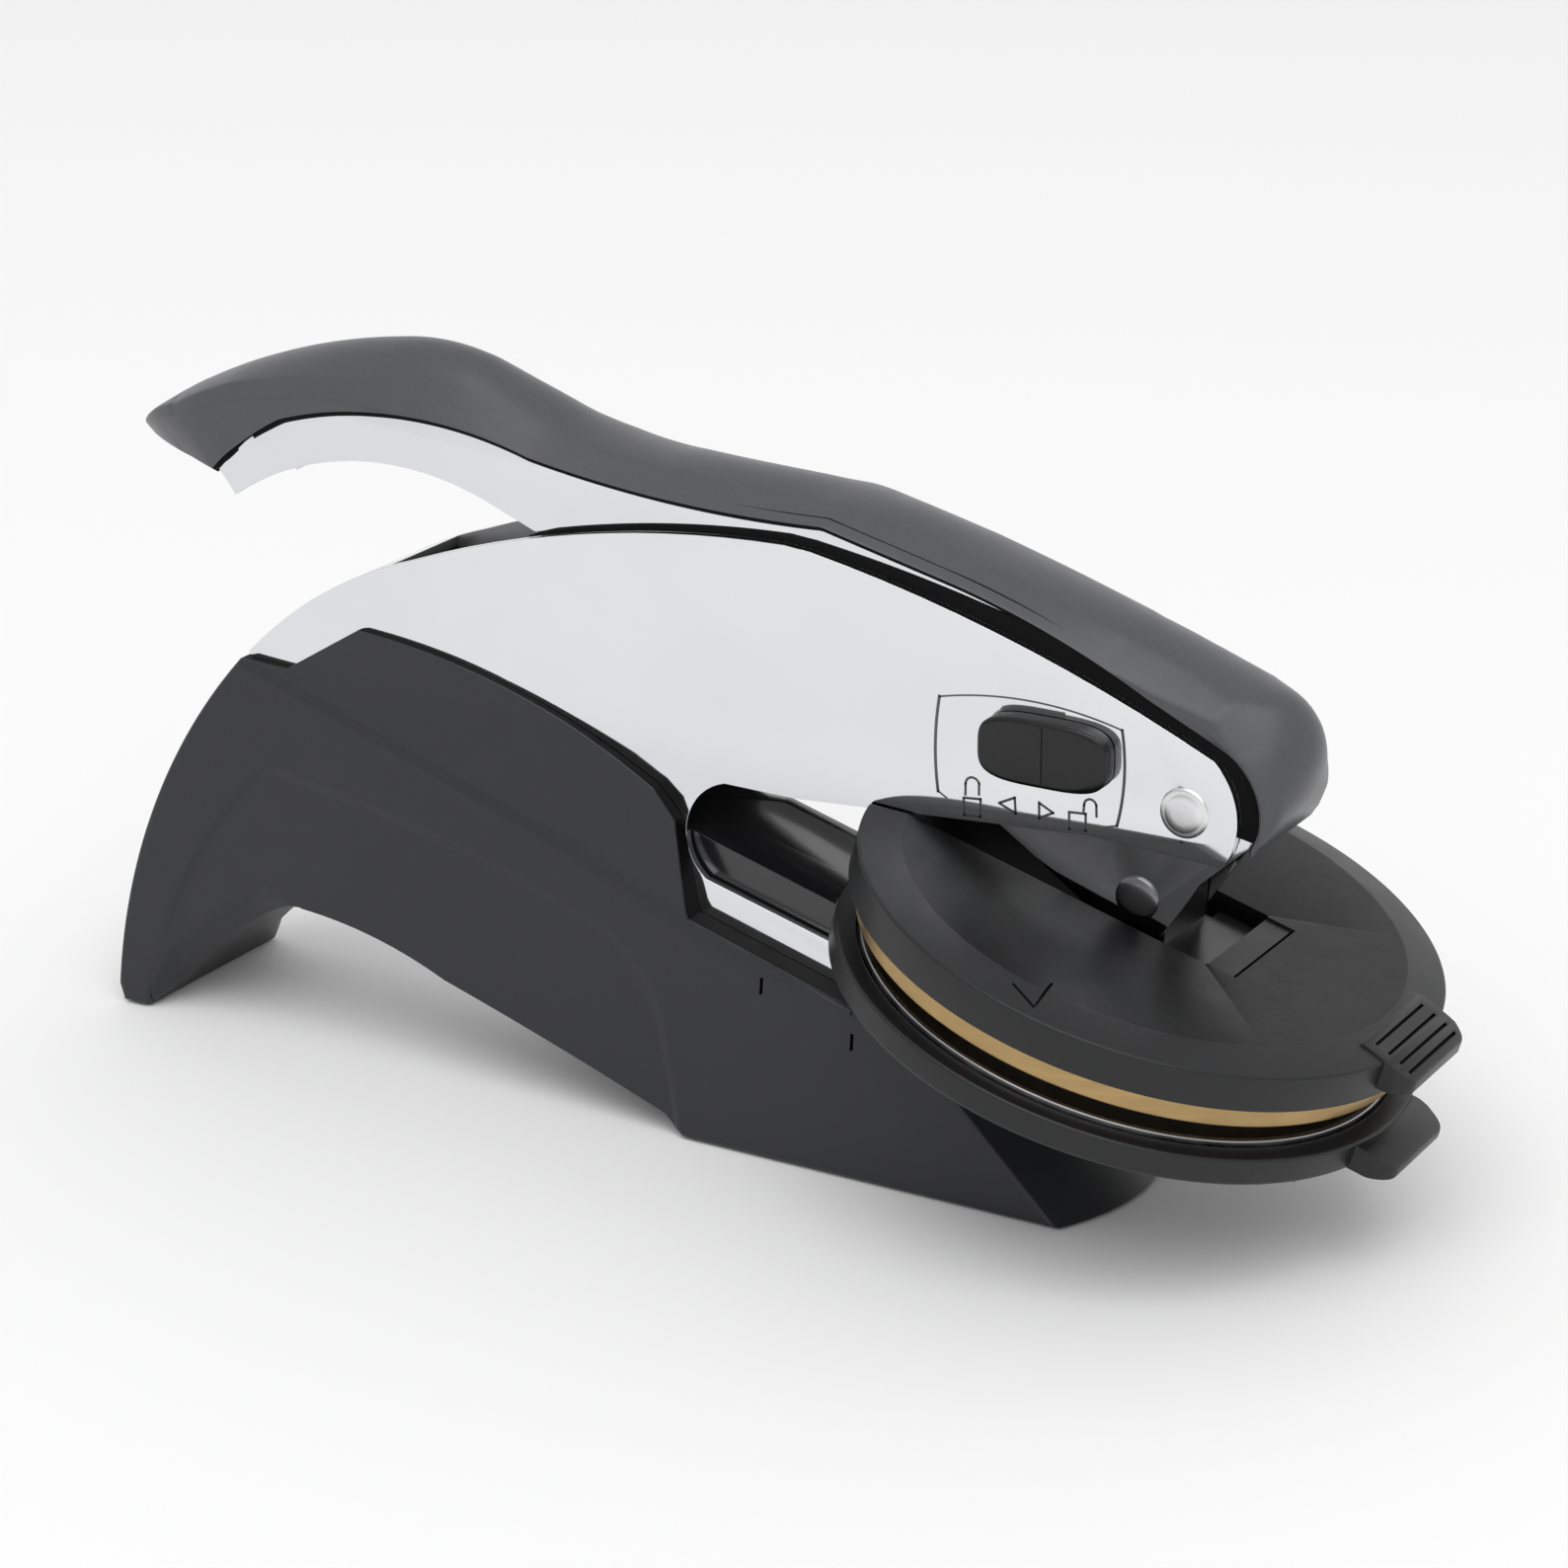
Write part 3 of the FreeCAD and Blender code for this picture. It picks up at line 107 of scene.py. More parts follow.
def meshFrom(name, points, faces, smooth=True, marks=None):
    # a welded piece from points in millimetres, normals outward; marks number its materials
    mesh = bpy.data.meshes.new(name)
    mesh.from_pydata((np.asarray(points) * mm).tolist(), [], faces)
    if marks is not None:
        mesh.polygons.foreach_set("material_index", np.asarray(marks, int).tolist())
    item = placed(name, mesh)
    shape = bmesh.new()
    shape.from_mesh(mesh)
    bmesh.ops.remove_doubles(shape, verts=shape.verts, dist=weld)
    bmesh.ops.recalc_face_normals(shape, faces=shape.faces)
    shape.to_mesh(mesh)
    shape.free()
    mesh.polygons.foreach_set("use_smooth", [smooth] * len(mesh.polygons))
    return item


def gridFaces(rows, columns, closedColumns=False, start=0):
    # quads of a grid of rows x columns points, the columns joined round if closed
    r, c = np.meshgrid(np.arange(rows - 1), np.arange(columns if closedColumns else columns - 1),
                       indexing="ij")
    r2, c2 = r + 1, (c + 1) % columns
    quads = np.stack([r * columns + c, r2 * columns + c, r2 * columns + c2, r * columns + c2], -1)
    return (quads.reshape(-1, 4) + start).tolist()


def joinGrids(name, grids, marks):
    # several grids (rows, columns, 3) in one closed mesh, joined where their edges meet
    points, faces = [], []
    for grid in grids:
        rows, columns = grid.shape[:2]
        faces += gridFaces(rows, columns, start=sum(len(p) for p in points))
        points.append(grid.reshape(-1, 3))
    marks = np.concatenate([mark.reshape(-1) for mark in marks])
    return meshFrom(name, np.vstack(points), faces, marks=marks)


def turnedPiece(name, profile, place, around=256):
    # a profile of (radius, height) turned round Z: x = r cos a, y = r sin a, z = h
    profile = np.asarray(profile, float)
    angle = np.linspace(0, 2 * math.pi, around, endpoint=False)
    points = np.stack([profile[:, :1] * np.cos(angle), profile[:, :1] * np.sin(angle),
                       np.repeat(profile[:, 1:], around, 1)], -1)
    faces = gridFaces(len(profile), around, closedColumns=True)
    return meshFrom(name, place(points.reshape(-1, 3)), faces)


def prism(name, outline, low, high, place=lambda p: p, mark=0):
    # an outline of (x, z) between two values of y
    outline = np.asarray(outline, float)
    count = len(outline)
    points = [np.c_[outline[:, 0], np.full(count, y), outline[:, 1]] for y in (low, high)]
    faces = [list(range(count)), list(range(2 * count - 1, count - 1, -1))]
    faces += [[i, (i + 1) % count, count + (i + 1) % count, count + i] for i in range(count)]
    return meshFrom(name, place(np.vstack(points)), faces, False, [mark] * len(faces))


def box(name, along, up, across, place=lambda p: p, mark=0):
    # a prism with a rectangle for its outline; each argument is a (low, high) pair
    (rear, front), (low, high) = along, up
    outline = [(rear, low), (front, low), (front, high), (rear, high)]
    return prism(name, outline, *across, place, mark)


def stroke(points, width):
    # the outline of a line drawn with a broad pen; its ends go on by half the width
    line = np.asarray(points, float)
    run = np.diff(line, axis=0)
    run /= np.maximum(np.hypot(*run.T), 1e-9)[:, None]
    ahead = np.vstack([run[:1], run[:-1] + run[1:], run[-1:]])
    ahead /= np.maximum(np.hypot(*ahead.T), 1e-9)[:, None]
    side = np.c_[-ahead[:, 1], ahead[:, 0]] * width / 2
    ends = ahead[[0, -1]] * width / 2
    line = line.copy()
    line[0] -= ends[0]
    line[-1] += ends[1]
    return np.vstack([line + side, (line - side)[::-1]])


def penStrokes(points, width):
    # a drawn path as separate strokes, one for each straight or curved stretch
    out, index = [], 0
    while index < len(points) - 1:
        step = 2 if len(points[index + 1]) == 3 else 1
        out.append(stroke(drawLine(points[index:index + step + 1], 0.35), width))
        index += step
    return out


def settle(item):
    # applies every modifier, so that the piece is one plain mesh
    mesh = bpy.data.meshes.new_from_object(
        item.evaluated_get(bpy.context.evaluated_depsgraph_get()))
    item.modifiers.clear()
    item.data = mesh
    return item


def combine(item, others, operation):
    # cuts away, adds or keeps to other solids, which are then gone
    for other in others:
        step = item.modifiers.new("combine", "BOOLEAN")
        step.operation = operation
        step.solver = "EXACT"
        step.object = other
    settle(item)
    for other in others:
        bpy.data.objects.remove(other)
    return item


def softenEdges(item, width, angle=35, segments=3):
    # narrow rounds along every edge sharper than the angle
    step = item.modifiers.new("edge", "BEVEL")
    step.width = width * mm
    step.segments = segments
    step.limit_method = "ANGLE"
    step.angle_limit = math.radians(angle)
    return settle(item)


def shadeByAngle(item, angle, flatAlong=(0, 0, 0), square=0.9995):
    # smooth faces with sharp edges above an angle; faces square to a direction stay flat
    mesh = item.data
    smooth = np.abs(faceCentres(item)[1] @ np.asarray(flatAlong, float)) < square
    mesh.polygons.foreach_set("use_smooth", smooth.tolist())
    mesh.set_sharp_from_angle(angle=math.radians(angle))
    return item


def copyOfNode(node, name, flatAngle=1.2):
    # a welded copy of a construction node with its flat faces merged. The node's own corner
    # normals go, since they tilt on long flat faces
    item = placed(name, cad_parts[node].data.copy())
    item.data.materials.clear()
    if "custom_normal" in item.data.attributes:
        item.data.attributes.remove(item.data.attributes["custom_normal"])
    shape = bmesh.new()
    shape.from_mesh(item.data)
    bmesh.ops.remove_doubles(shape, verts=shape.verts, dist=weld)
    bmesh.ops.dissolve_limit(
        shape, angle_limit=math.radians(flatAngle), verts=shape.verts, edges=shape.edges)
    shape.to_mesh(item.data)
    shape.free()
    return item


def vectorsOf(items, key):
    # one row of three numbers for each vertex or face
    values = np.empty(len(items) * 3)
    items.foreach_get(key, values)
    return values.reshape(-1, 3)


def faceCentres(item):
    # centres of the faces in millimetres, and their normals
    return vectorsOf(item.data.polygons, "center") / mm, vectorsOf(item.data.polygons, "normal")


def marksOf(item):
    # the number of the material of each face
    marks = np.empty(len(item.data.polygons), np.int32)
    item.data.polygons.foreach_get("material_index", marks)
    return marks


def finished(item, body, nodes, slot, *materials, marks=None):
    # gives the piece its materials, face by face where marks are given, and hands it over
    marks = marksOf(item) if marks is None else marks
    item.data.materials.clear()
    for material in materials:
        item.data.materials.append(material)
    marks = np.minimum(marks, len(materials) - 1).astype(int)
    item.data.polygons.foreach_set("material_index", marks.tolist())
    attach(item, body)
    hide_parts(*nodes)
    return item


# the dies' own frame: the point on the axis at the height of the upper rim, and its lean
dieFrame = dict(x=44.9, z=33.4, tilt=15.9)


def untilted(points):
    # from the part's frame to (along, across, above the rim)
    a = math.radians(dieFrame["tilt"])
    x, z = points[:, 0] - dieFrame["x"], points[:, 2] - dieFrame["z"]
    return np.c_[x * math.cos(a) - z * math.sin(a), points[:, 1], x * math.sin(a) + z * math.cos(a)]


def tilted(points):
    # from the die frame (along, across, above the rim) to the part's frame
    a = math.radians(dieFrame["tilt"])
    points = np.asarray(points, float)
    along, across, above = points[:, 0], points[:, 1], points[:, 2]
    return np.c_[dieFrame["x"] + along * math.cos(a) + above * math.sin(a), across,
                 dieFrame["z"] - along * math.sin(a) + above * math.cos(a)]


def newMaterial(name, **values):
    # values are set on the shader's own sockets
    material = bpy.data.materials.new(name)
    material.use_nodes = True
    shader = material.node_tree.nodes["Principled BSDF"]
    for key, value in values.items():
        shader.inputs[key].default_value = value
    return material, material.node_tree, shader


def addNode(tree, kind, **values):
    # values go to inputs of that name, and to settings where there is no such input
    node = tree.nodes.new(kind)
    for key, value in values.items():
        if key in node.inputs:
            node.inputs[key].default_value = value
        else:
            setattr(node, key, value)
    return node


def noiseNode(tree, scale, detail=3.0, stretch=(1, 1, 1)):
    # noise on object coordinates; scale is in grains per metre
    place = addNode(tree, "ShaderNodeTexCoord")
    mapping = addNode(tree, "ShaderNodeMapping")
    mapping.inputs["Scale"].default_value = stretch
    tree.links.new(place.outputs["Object"], mapping.inputs["Vector"])
    noise = addNode(tree, "ShaderNodeTexNoise", Scale=scale, Detail=detail)
    tree.links.new(mapping.outputs["Vector"], noise.inputs["Vector"])
    return noise


def rampNode(tree, source, low, high, lowPlace=0.35, highPlace=0.65):
    # carries a factor from one tone or number to another between two places
    ramp = addNode(tree, "ShaderNodeValToRGB")
    for element, place, value in zip(ramp.color_ramp.elements, (lowPlace, highPlace), (low, high)):
        element.position = place
        element.color = (*value, 1) if isinstance(value, tuple) else (value, value, value, 1)
    tree.links.new(source, ramp.inputs["Fac"])
    return ramp


def bumpNode(tree, shader, sources):
    # stacks bumps of (height output, strength, distance in mm)
    last = None
    for source, strength, distance in sources:
        bump = addNode(tree, "ShaderNodeBump", Strength=strength, Distance=distance * mm)
        tree.links.new(source, bump.inputs["Height"])
        if last:
            tree.links.new(last.outputs["Normal"], bump.inputs["Normal"])
        last = bump
    tree.links.new(last.outputs["Normal"], shader.inputs["Normal"])


def plastic(name, tone, roughness, grain=5200, depth=0.012, fleck=0.05, coat=0.0, gloss=0.4):
    # moulded plastic: fine sparked grain, faint cloudy tone, uneven sheen
    material, tree, shader = newMaterial(name, Roughness=roughness)
    shader.inputs["Specular IOR Level"].default_value = gloss
    if coat:
        shader.inputs["Coat Weight"].default_value = coat
        shader.inputs["Coat Roughness"].default_value = 0.12
    cloud = noiseNode(tree, grain / 2, 3)
    dark = tuple(c * (1 - fleck) for c in tone)
    light = tuple(c * (1 + fleck) for c in tone)
    colour = rampNode(tree, cloud.outputs["Fac"], dark, light, 0.3, 0.7)
    tree.links.new(colour.outputs["Color"], shader.inputs["Base Color"])
    sheen = rampNode(tree, noiseNode(tree, 260, 5).outputs["Fac"],
                     roughness - 0.02, roughness + 0.03)
    tree.links.new(sheen.outputs["Color"], shader.inputs["Roughness"])
    fine = noiseNode(tree, grain, 2)
    coarse = noiseNode(tree, grain / 3.2, 3)
    bumpNode(tree, shader, [(coarse.outputs["Fac"], 0.35, depth),
                            (fine.outputs["Fac"], 0.4, depth / 2)])
    return material


def plated(name, tone, roughness, haze=0.05, ripple=0.02):
    # bright plate: faint haze of handling, very slight waviness of the sheet
    material, tree, shader = newMaterial(name, Metallic=1.0, Roughness=roughness)
    cloud = noiseNode(tree, 55, 4)
    colour = rampNode(tree, cloud.outputs["Fac"], tuple(c * 0.965 for c in tone), tone)
    tree.links.new(colour.outputs["Color"], shader.inputs["Base Color"])
    smear = noiseNode(tree, 120, 5, (0.5, 1, 1.6))
    rough = rampNode(tree, smear.outputs["Fac"], roughness, roughness + haze, 0.4, 0.75)
    tree.links.new(rough.outputs["Color"], shader.inputs["Roughness"])
    wave = noiseNode(tree, 38, 1)
    bumpNode(tree, shader, [(wave.outputs["Fac"], 0.25, ripple)])
    return material


def turnedMetal(name, tone, roughness, lines=900):
    # metal cut on a lathe: fine streaks that run level
    material, tree, shader = newMaterial(name, Metallic=1.0, Roughness=roughness)
    streak = noiseNode(tree, lines, 3, (0.12, 0.12, 1.0))
    colour = rampNode(tree, streak.outputs["Fac"], tuple(c * 0.86 for c in tone), tone)
    tree.links.new(colour.outputs["Color"], shader.inputs["Base Color"])
    rough = rampNode(tree, noiseNode(tree, 300, 4).outputs["Fac"],
                     roughness - 0.04, roughness + 0.08)
    tree.links.new(rough.outputs["Color"], shader.inputs["Roughness"])
    bumpNode(tree, shader, [(streak.outputs["Fac"], 0.2, 0.01)])
    return material


blackBase = plastic("black base plastic", (0.0195, 0.020, 0.023), 0.42)
# near-black plastic that paints shade: it darkens the cover's lip and channel, the inner strips
# under the cover, the strip along the frame slot, the ticks, and the disc's slot and grooves
paintedShadeBlack = plastic("painted shade black", (0.003, 0.003, 0.003), 0.55, gloss=0.1)
blackCover = plastic("black cover plastic", (0.070, 0.071, 0.077), 0.34)
blackDisc = plastic("sparked disc plastic", (0.0035, 0.0036, 0.0042), 0.40, grain=2200,
                    depth=0.05, fleck=0.5, gloss=0.3)
rimPlastic = plastic("disc rim plastic", (0.0095, 0.0098, 0.011), 0.38, depth=0.01)
glossSlide = plastic("glossy slide plastic", (0.008, 0.008, 0.009), 0.22, depth=0.003,
                     coat=0.7)
buttonBlack = plastic("button plastic", (0.0035, 0.0035, 0.004), 0.28, depth=0.004, coat=0.05)
rubber = plastic("foot rubber", (0.02, 0.02, 0.021), 0.75, grain=2500, depth=0.03)
shoeBlack = plastic("black shoe steel", (0.012, 0.012, 0.013), 0.22, depth=0.004, gloss=0.6)
ivory = plastic("counter die plastic", (0.62, 0.60, 0.52), 0.35)
carrierBlack = plastic("die carrier", (0.006, 0.006, 0.006), 0.4, gloss=0.2)
chrome = plated("frame chrome", (0.735, 0.74, 0.762), 0.055)
# dull unplated steel for the channel's inside; its darker tone also stands in for the shade inside
# the folded channel
unplatedShadeSteel = plated("unplated inside with painted shade", (0.40, 0.40, 0.41), 0.45, haze=0.1)
engraved = plated("engraving", (0.13, 0.13, 0.135), 0.42)
leverChrome = plated("lever chrome", (0.72, 0.725, 0.745), 0.07)
satin = plated("satin steel", (0.80, 0.80, 0.81), 0.3)
darkSteel = plated("black pin steel", (0.22, 0.22, 0.23), 0.2, haze=0.06)
brass = turnedMetal("turned brass", (0.46, 0.315, 0.145), 0.36)
silver = turnedMetal("turned aluminium", (0.42, 0.42, 0.43), 0.3)
steel = turnedMetal("turned steel", (0.56, 0.56, 0.58), 0.30)
print("materials made")

coverShape = dict(
    half=7.5, tipEnd=-85.5, tipHalf=0.5, tipRound=(-81.0, 5.9), tipFull=-73.0, tipFade=5.0,
    lowFade=3.0, channelHalf=6.42, channelDeep=1.4, channelWall=0.75, draft=0.15,
    lipTuck=0.4, lipTall=0.6, lipRound=(0.12, 0.1), lipStep=0.8,
    step=0.3, stations=330, crownPasses=14, lipPasses=8,
    # the most that the flank and the band take of the height, and the band of the half width
    flankMost=0.78, fallMost=0.7, wideMost=0.6, lowSoft=0.6,
    # height of the upright flank, then fall and width of the band above it, along the cover
    flank=[(-85.5, 9.0), (-78.5, 8.2), (-71.5, 5.4), (-64.8, 3.1), (-55.0, 1.8), (-45.0, 0.8),
           (44.0, 0.75), (50.5, 1.6), (57.0, 2.6), (61.9, 1.0)],
    fall=[(-85.5, 0.9), (-78.0, 1.3), (-70.0, 2.2), (-45.0, 2.5), (-10.0, 2.2), (5.0, 1.8),
          (29.0, 1.9), (40.0, 2.4), (50.0, 2.7), (61.9, 1.6)],
    wide=[(-85.5, 0.3), (-78.0, 1.0), (-65.0, 1.5), (-45.0, 1.8), (-25.0, 2.7), (-10.0, 3.0),
          (50.0, 3.0), (57.5, 1.8), (62.0, 1.1)],
    lean=[(-85.5, 0.9), (-70.0, 0.8), (-50.0, 0.0), (50.0, 0.0), (60.0, 0.4)],
    soft=[(-70.0, 0.3), (-50.0, 0.5), (-20.0, 2.2), (52.0, 2.2), (61.0, 1.2)],
    crown=[(-85.5, 68.3), (-81.8, 71.4, "arc"), (-75.6, 75.1), (-63.0, 80.0, "arc"),
           (-50.0, 82.8), (-44.0, 83.2, "arc"), (-37.8, 82.25), (-27.3, 78.3),
           (-20.0, 75.95, "arc"), (-10.8, 75.0), (1.5, 74.6), (11.6, 73.65, "arc"),
           (21.4, 71.45), (44.5, 64.7), (57.6, 60.0), (62.0, 57.3, "arc"), (63.1, 52.5),
           (62.4, 49.4), (61.1, 46.5, "arc"), (59.2, 44.0)],
    lip=[(-85.5, 68.3), (-71.4, 65.6), (-66.9, 69.4, "arc"), (-61.4, 72.8),
         (-44.3, 75.6, "arc"), (-28.0, 73.2), (-8.4, 70.9, "arc"), (8.7, 70.85),
         (24.4, 67.1), (36.2, 63.3, "arc"), (46.7, 58.5), (55.1, 54.4),
         (59.0, 49.3, "arc"), (58.7, 44.6), (59.2, 44.0)],
    pairs=[((-85.5, 68.3), (-85.5, 68.3)), ((-78.5, 74.2), (-71.4, 65.6)),
           ((-64.8, 79.4), (-61.8, 72.6)), ((-45.2, 83.2), (-44.3, 75.6)),
           ((-25.9, 77.4), (-26.5, 72.95)), ((-12.7, 75.2), (-12.2, 71.1)),
           ((9.6, 73.95), (8.7, 70.85)), ((25.3, 70.3), (24.2, 67.1)),
           ((41.4, 65.5), (39.8, 62.0)), ((50.5, 62.4), (47.3, 58.2)),
           ((61.3, 58.2), (55.1, 54.4)), ((63.1, 51.5), (58.9, 50.2)),
           ((62.2, 48.6), (58.9, 47.0)), ((59.2, 44.0), (59.2, 44.0))])


def smoothLine(points, passes):
    # averages neighbours, ends held
    points = points.copy()
    for _ in range(passes):
        points[1:-1] = (points[:-2] + 2 * points[1:-1] + points[2:]) / 4
    return points


def marksAlong(line, marks):
    # the length along a line at each of its points, and the lengths nearest to the marks
    length = np.r_[0, np.cumsum(np.hypot(*np.diff(line, axis=0).T))]
    return length, [length[np.argmin(np.hypot(*(line - mark).T))] for mark in marks]


def coverStations(shape):
    # even steps along the crown, each set against the place on the lip that the pairs give
    crown = smoothLine(drawLine(shape["crown"], shape["step"]), shape["crownPasses"])
    lip = drawLine(shape["lip"], shape["step"])
    crownLength, crownMarks = marksAlong(crown, [pair[0] for pair in shape["pairs"]])
    lipLength, lipMarks = marksAlong(lip, [pair[1] for pair in shape["pairs"]])
    u = np.linspace(0, crownLength[-1], shape["stations"])
    v = smoothLine(np.interp(u, crownMarks, lipMarks)[:, None], shape["lipPasses"])[:, 0]
    top = np.c_[np.interp(u, crownLength, crown[:, 0]), np.interp(u, crownLength, crown[:, 1])]
    low = np.c_[np.interp(v, lipLength, lip[:, 0]), np.interp(v, lipLength, lip[:, 1])]
    return top, low


def bend(point, before, after, reach, count=5):
    # rounds a corner of every station at once, by a parabola from side to side
    a, b = before - point, after - point
    sizeA, sizeB = np.hypot(*a.T)[:, None] + 1e-9, np.hypot(*b.T)[:, None] + 1e-9
    start = point + a / sizeA * np.minimum(reach[:, None], sizeA * 0.48)
    end = point + b / sizeB * np.minimum(reach[:, None], sizeB * 0.48)
    return [start * (1 - t) ** 2 + 2 * point * t * (1 - t) + end * t ** 2
            for t in np.linspace(0, 1, count)]


def coverSection(shape, x, tall):
    # the half section of each station as rows of (across, height over the lip): channel, tucked
    # lip, steep flank, sloping band, and a dome that falls with the square of the distance
    def along(key):
        return np.interp(x, *np.array(shape[key]).T)

    tip = drawLine([(shape["tipEnd"], shape["tipHalf"]), (*shape["tipRound"], "arc"),
                    (shape["tipFull"], shape["half"])], 0.2)
    half = np.interp(x, tip[:, 0], tip[:, 1])
    share = np.minimum(1, (x - x[0]) / shape["tipFade"] + 0.02)
    share = np.clip(np.minimum(share, tall / shape["lowFade"]), 0, 1)
    lipTall, tuck, draft = (shape[key] * share for key in ("lipTall", "lipTuck", "draft"))
    lean = along("lean") * share     # the flank leans in towards the lip
    upright = np.minimum(along("flank"), shape["flankMost"] * tall)
    fall = np.minimum(along("fall"), shape["fallMost"] * (tall - upright))
    wide = np.minimum(along("wide"), shape["wideMost"] * half) * np.sqrt(share)
    dome = tall - upright - fall
    creaseHigh = np.c_[half - draft - wide, tall - dome]
    creaseLow = np.c_[half - draft, upright]
    softHigh, softLow = along("soft"), along("soft") * shape["lowSoft"]
    inner = np.minimum(shape["channelHalf"], half - shape["channelWall"] - lean)
    zero, deep = np.zeros_like(tall), shape["channelDeep"] * share
    lipAcross, lipUp = shape["lipRound"]
    foot = np.c_[half - lean, lipTall]
    rows = [np.c_[zero, deep], np.c_[inner, deep], np.c_[inner, zero],
            np.c_[half - tuck - lean - lipAcross, zero], np.c_[half - tuck - lean, lipUp * share],
            np.c_[half - tuck - lean, lipTall * shape["lipStep"]], foot]
    lipRows = len(rows)
    domeRows = [np.c_[creaseHigh[:, 0] * k, tall - dome * k ** 2] for k in (0.8, 0.6, 0.4, 0.2, 0)]
    rows += [foot + (creaseLow - foot) * k for k in (0.2, 0.4)]
    rows += bend(creaseLow, foot, creaseHigh, softLow)
    rows += bend(creaseHigh, creaseLow, domeRows[0], softHigh)
    return np.stack(rows + domeRows, 1), lipRows


def makeCover(shape):
    # both halves: each row stands on the lip, square to the line from lip to crown
    top, low = coverStations(shape)
    tall = np.maximum(np.hypot(*(top - low).T), 1e-3)
    section, lipRows = coverSection(shape, top[:, 0], tall)
    across, height = section[..., 0], section[..., 1]
    up = (top - low) / tall[:, None]
    sides = [np.stack([low[:, :1] + up[:, :1] * height, sign * across,
                       low[:, 1:] + up[:, 1:] * height], -1) for sign in (-1, 1)]
    mark = np.zeros((len(top) - 1, section.shape[1] - 1), int)
    # the lip and channel rows take the second material, near-black: painted shade for the dark gap
    # under the cover's lip
    mark[:, :lipRows - 1] = 1
    return joinGrids("handle_cover_shell", sides, [mark, mark])


cover = makeCover(coverShape)
shadeByAngle(cover, 50)
finished(cover, "handle", ["handle_cover"], "cover_plastic", blackCover, paintedShadeBlack)

# a near-black strip inside the cover's lip at the front, put where there is only the shade of the
# gap between the cover and the frame: a painted shadow
shadeStripShape = dict(
    low=6.36, high=6.56, gap=0.05, start=-28.5, into=0.4, end=45.5, lipFrom=-50.0,
    tall=[(-28.5, 0.15), (-25.0, 0.5), (8.0, 1.0), (30.0, 1.9), (37.0, 2.4)],
    fullFrom=38.0, fullBelow=55.0,
    cheek=[(-43.3, 59.8), (-19.9, 66.4, "arc"), (4.4, 68.8), (7.5, 68.5), (31.6, 62.6, "arc"),
           (54.7, 53.6), (57.5, 47.5, "arc"), (57.2, 45.2)])


def makeShadeStrip(shape, sign):
    # a strip that stands on the cheek's top edge; its height follows the distance along
    edge = drawLine(shape["cheek"], 0.6)
    edge = edge[(edge[:, 0] > shape["start"]) & (edge[:, 1] > shape["end"])]
    run = np.gradient(edge, axis=0)
    out = np.c_[-run[:, 1], run[:, 0]] / np.hypot(*run.T)[:, None]
    low = edge + out * shape["gap"]
    lip = drawLine(coverShape["lip"], coverShape["step"])
    lip = lip[lip[:, 0] > shape["lipFrom"]]
    room = np.array([np.hypot(*(lip - p).T).min() for p in low])
    band = np.minimum(np.interp(low[:, 0], *np.array(shape["tall"]).T), room + shape["into"])
    full = (low[:, 0] > shape["fullFrom"]) | (low[:, 1] < shape["fullBelow"])
    high = low + out * np.where(full, room + shape["into"], band)[:, None]
    return prism("cover_shade_strip", np.vstack([low, high[::-1]]), *sorted(
        (sign * shape["low"], sign * shape["high"])))


for side in (-1, 1):
    finished(makeShadeStrip(shadeStripShape, side), "handle", ["handle_cover"], "cover_plastic",
             paintedShadeBlack)
print("handle cover made")

baseShape = dict(
    panelHalf=9.0, footHalf=13.0, flareTop=45.0, slotHalf=7.6, deckLevel=-21.8,
    bowSide=41.6, bowNose=45.2, bowReach=12.6, bowLean=1.142, bowTop=20.0, lift=0.3,
    edge=0.55, legEdge=5.0, panelSink=0.35, archSink=0.45, archBlend=0.7, margin=(0.9, 0.3),
    # the panel's crease: its least softness, what it gains and where, and where it ends
    softLeast=0.55, softGain=0.9, softSpan=(-50, -5), panelEnd=(6, 14),
    # where the arch's sink and the leg's big round start and end, and the bow's run-ups
    archStart=(-81, -74), legStart=(-81, -76), legEnd=(-66, -57), topSwell=9, soleSwell=12,
    step=0.45, deckFrom=-6.1, deckStep=0.4, soleFrom=-5.0, soleStep=0.6, creaseStep=0.5,
    heel=[(-84.4, 2.3), (-79.5, 25.0, "arc"), (-67.2, 44.7)],
    under=[(-84.4, 2.3), (-83.6, 0.3), (-80.0, 0.3), (-70.3, 9.8, "arc"), (-60.4, 15.9),
           (-58.6, 16.4), (-48.1, 15.0, "arc"), (-38.0, 11.8), (-23.0, 7.3, "arc"),
           (-8.1, 2.4), (-5.6, 0.3)],
    panel=[(-67.2, 44.7), (-60.7, 44.5), (-50.6, 50.7), (-30.2, 47.1, "arc"),
           (-11.2, 39.1), (-8.3, 35.9), (-6.5, 26.1)],
    panelCrease=[(-67.2, 44.6), (-22.0, 30.8), (-3.7, 24.0, "arc"), (14.8, 18.6)],
    archCrease=[(-79.8, 3.2), (-74.0, 18.5, "arc"), (-64.4, 31.6), (-62.2, 32.4),
                (-59.7, 31.8), (-40.1, 28.6, "arc"), (-20.9, 23.3), (-12.6, 18.8, "arc"),
                (-8.5, 10.3), (-6.2, 0.7)],
    frontCrease=[(27.1, 13.0), (33.5, 8.9, "arc"), (39.6, 1.1)], frontTurn=0.10,
    notches=[(3.7, 19.7), (15.2, 15.7)], notchWide=0.4, notchTall=2.0, notchDeep=0.5,
    paintedShadeUntil=22.0,
    slot=[(-66.8, 45.3), (-64.3, 41.0), (-58.5, 31.0), (-12.0, 18.5), (46.0, 8.13),
          (46.0, 90.0), (-66.8, 90.0)])


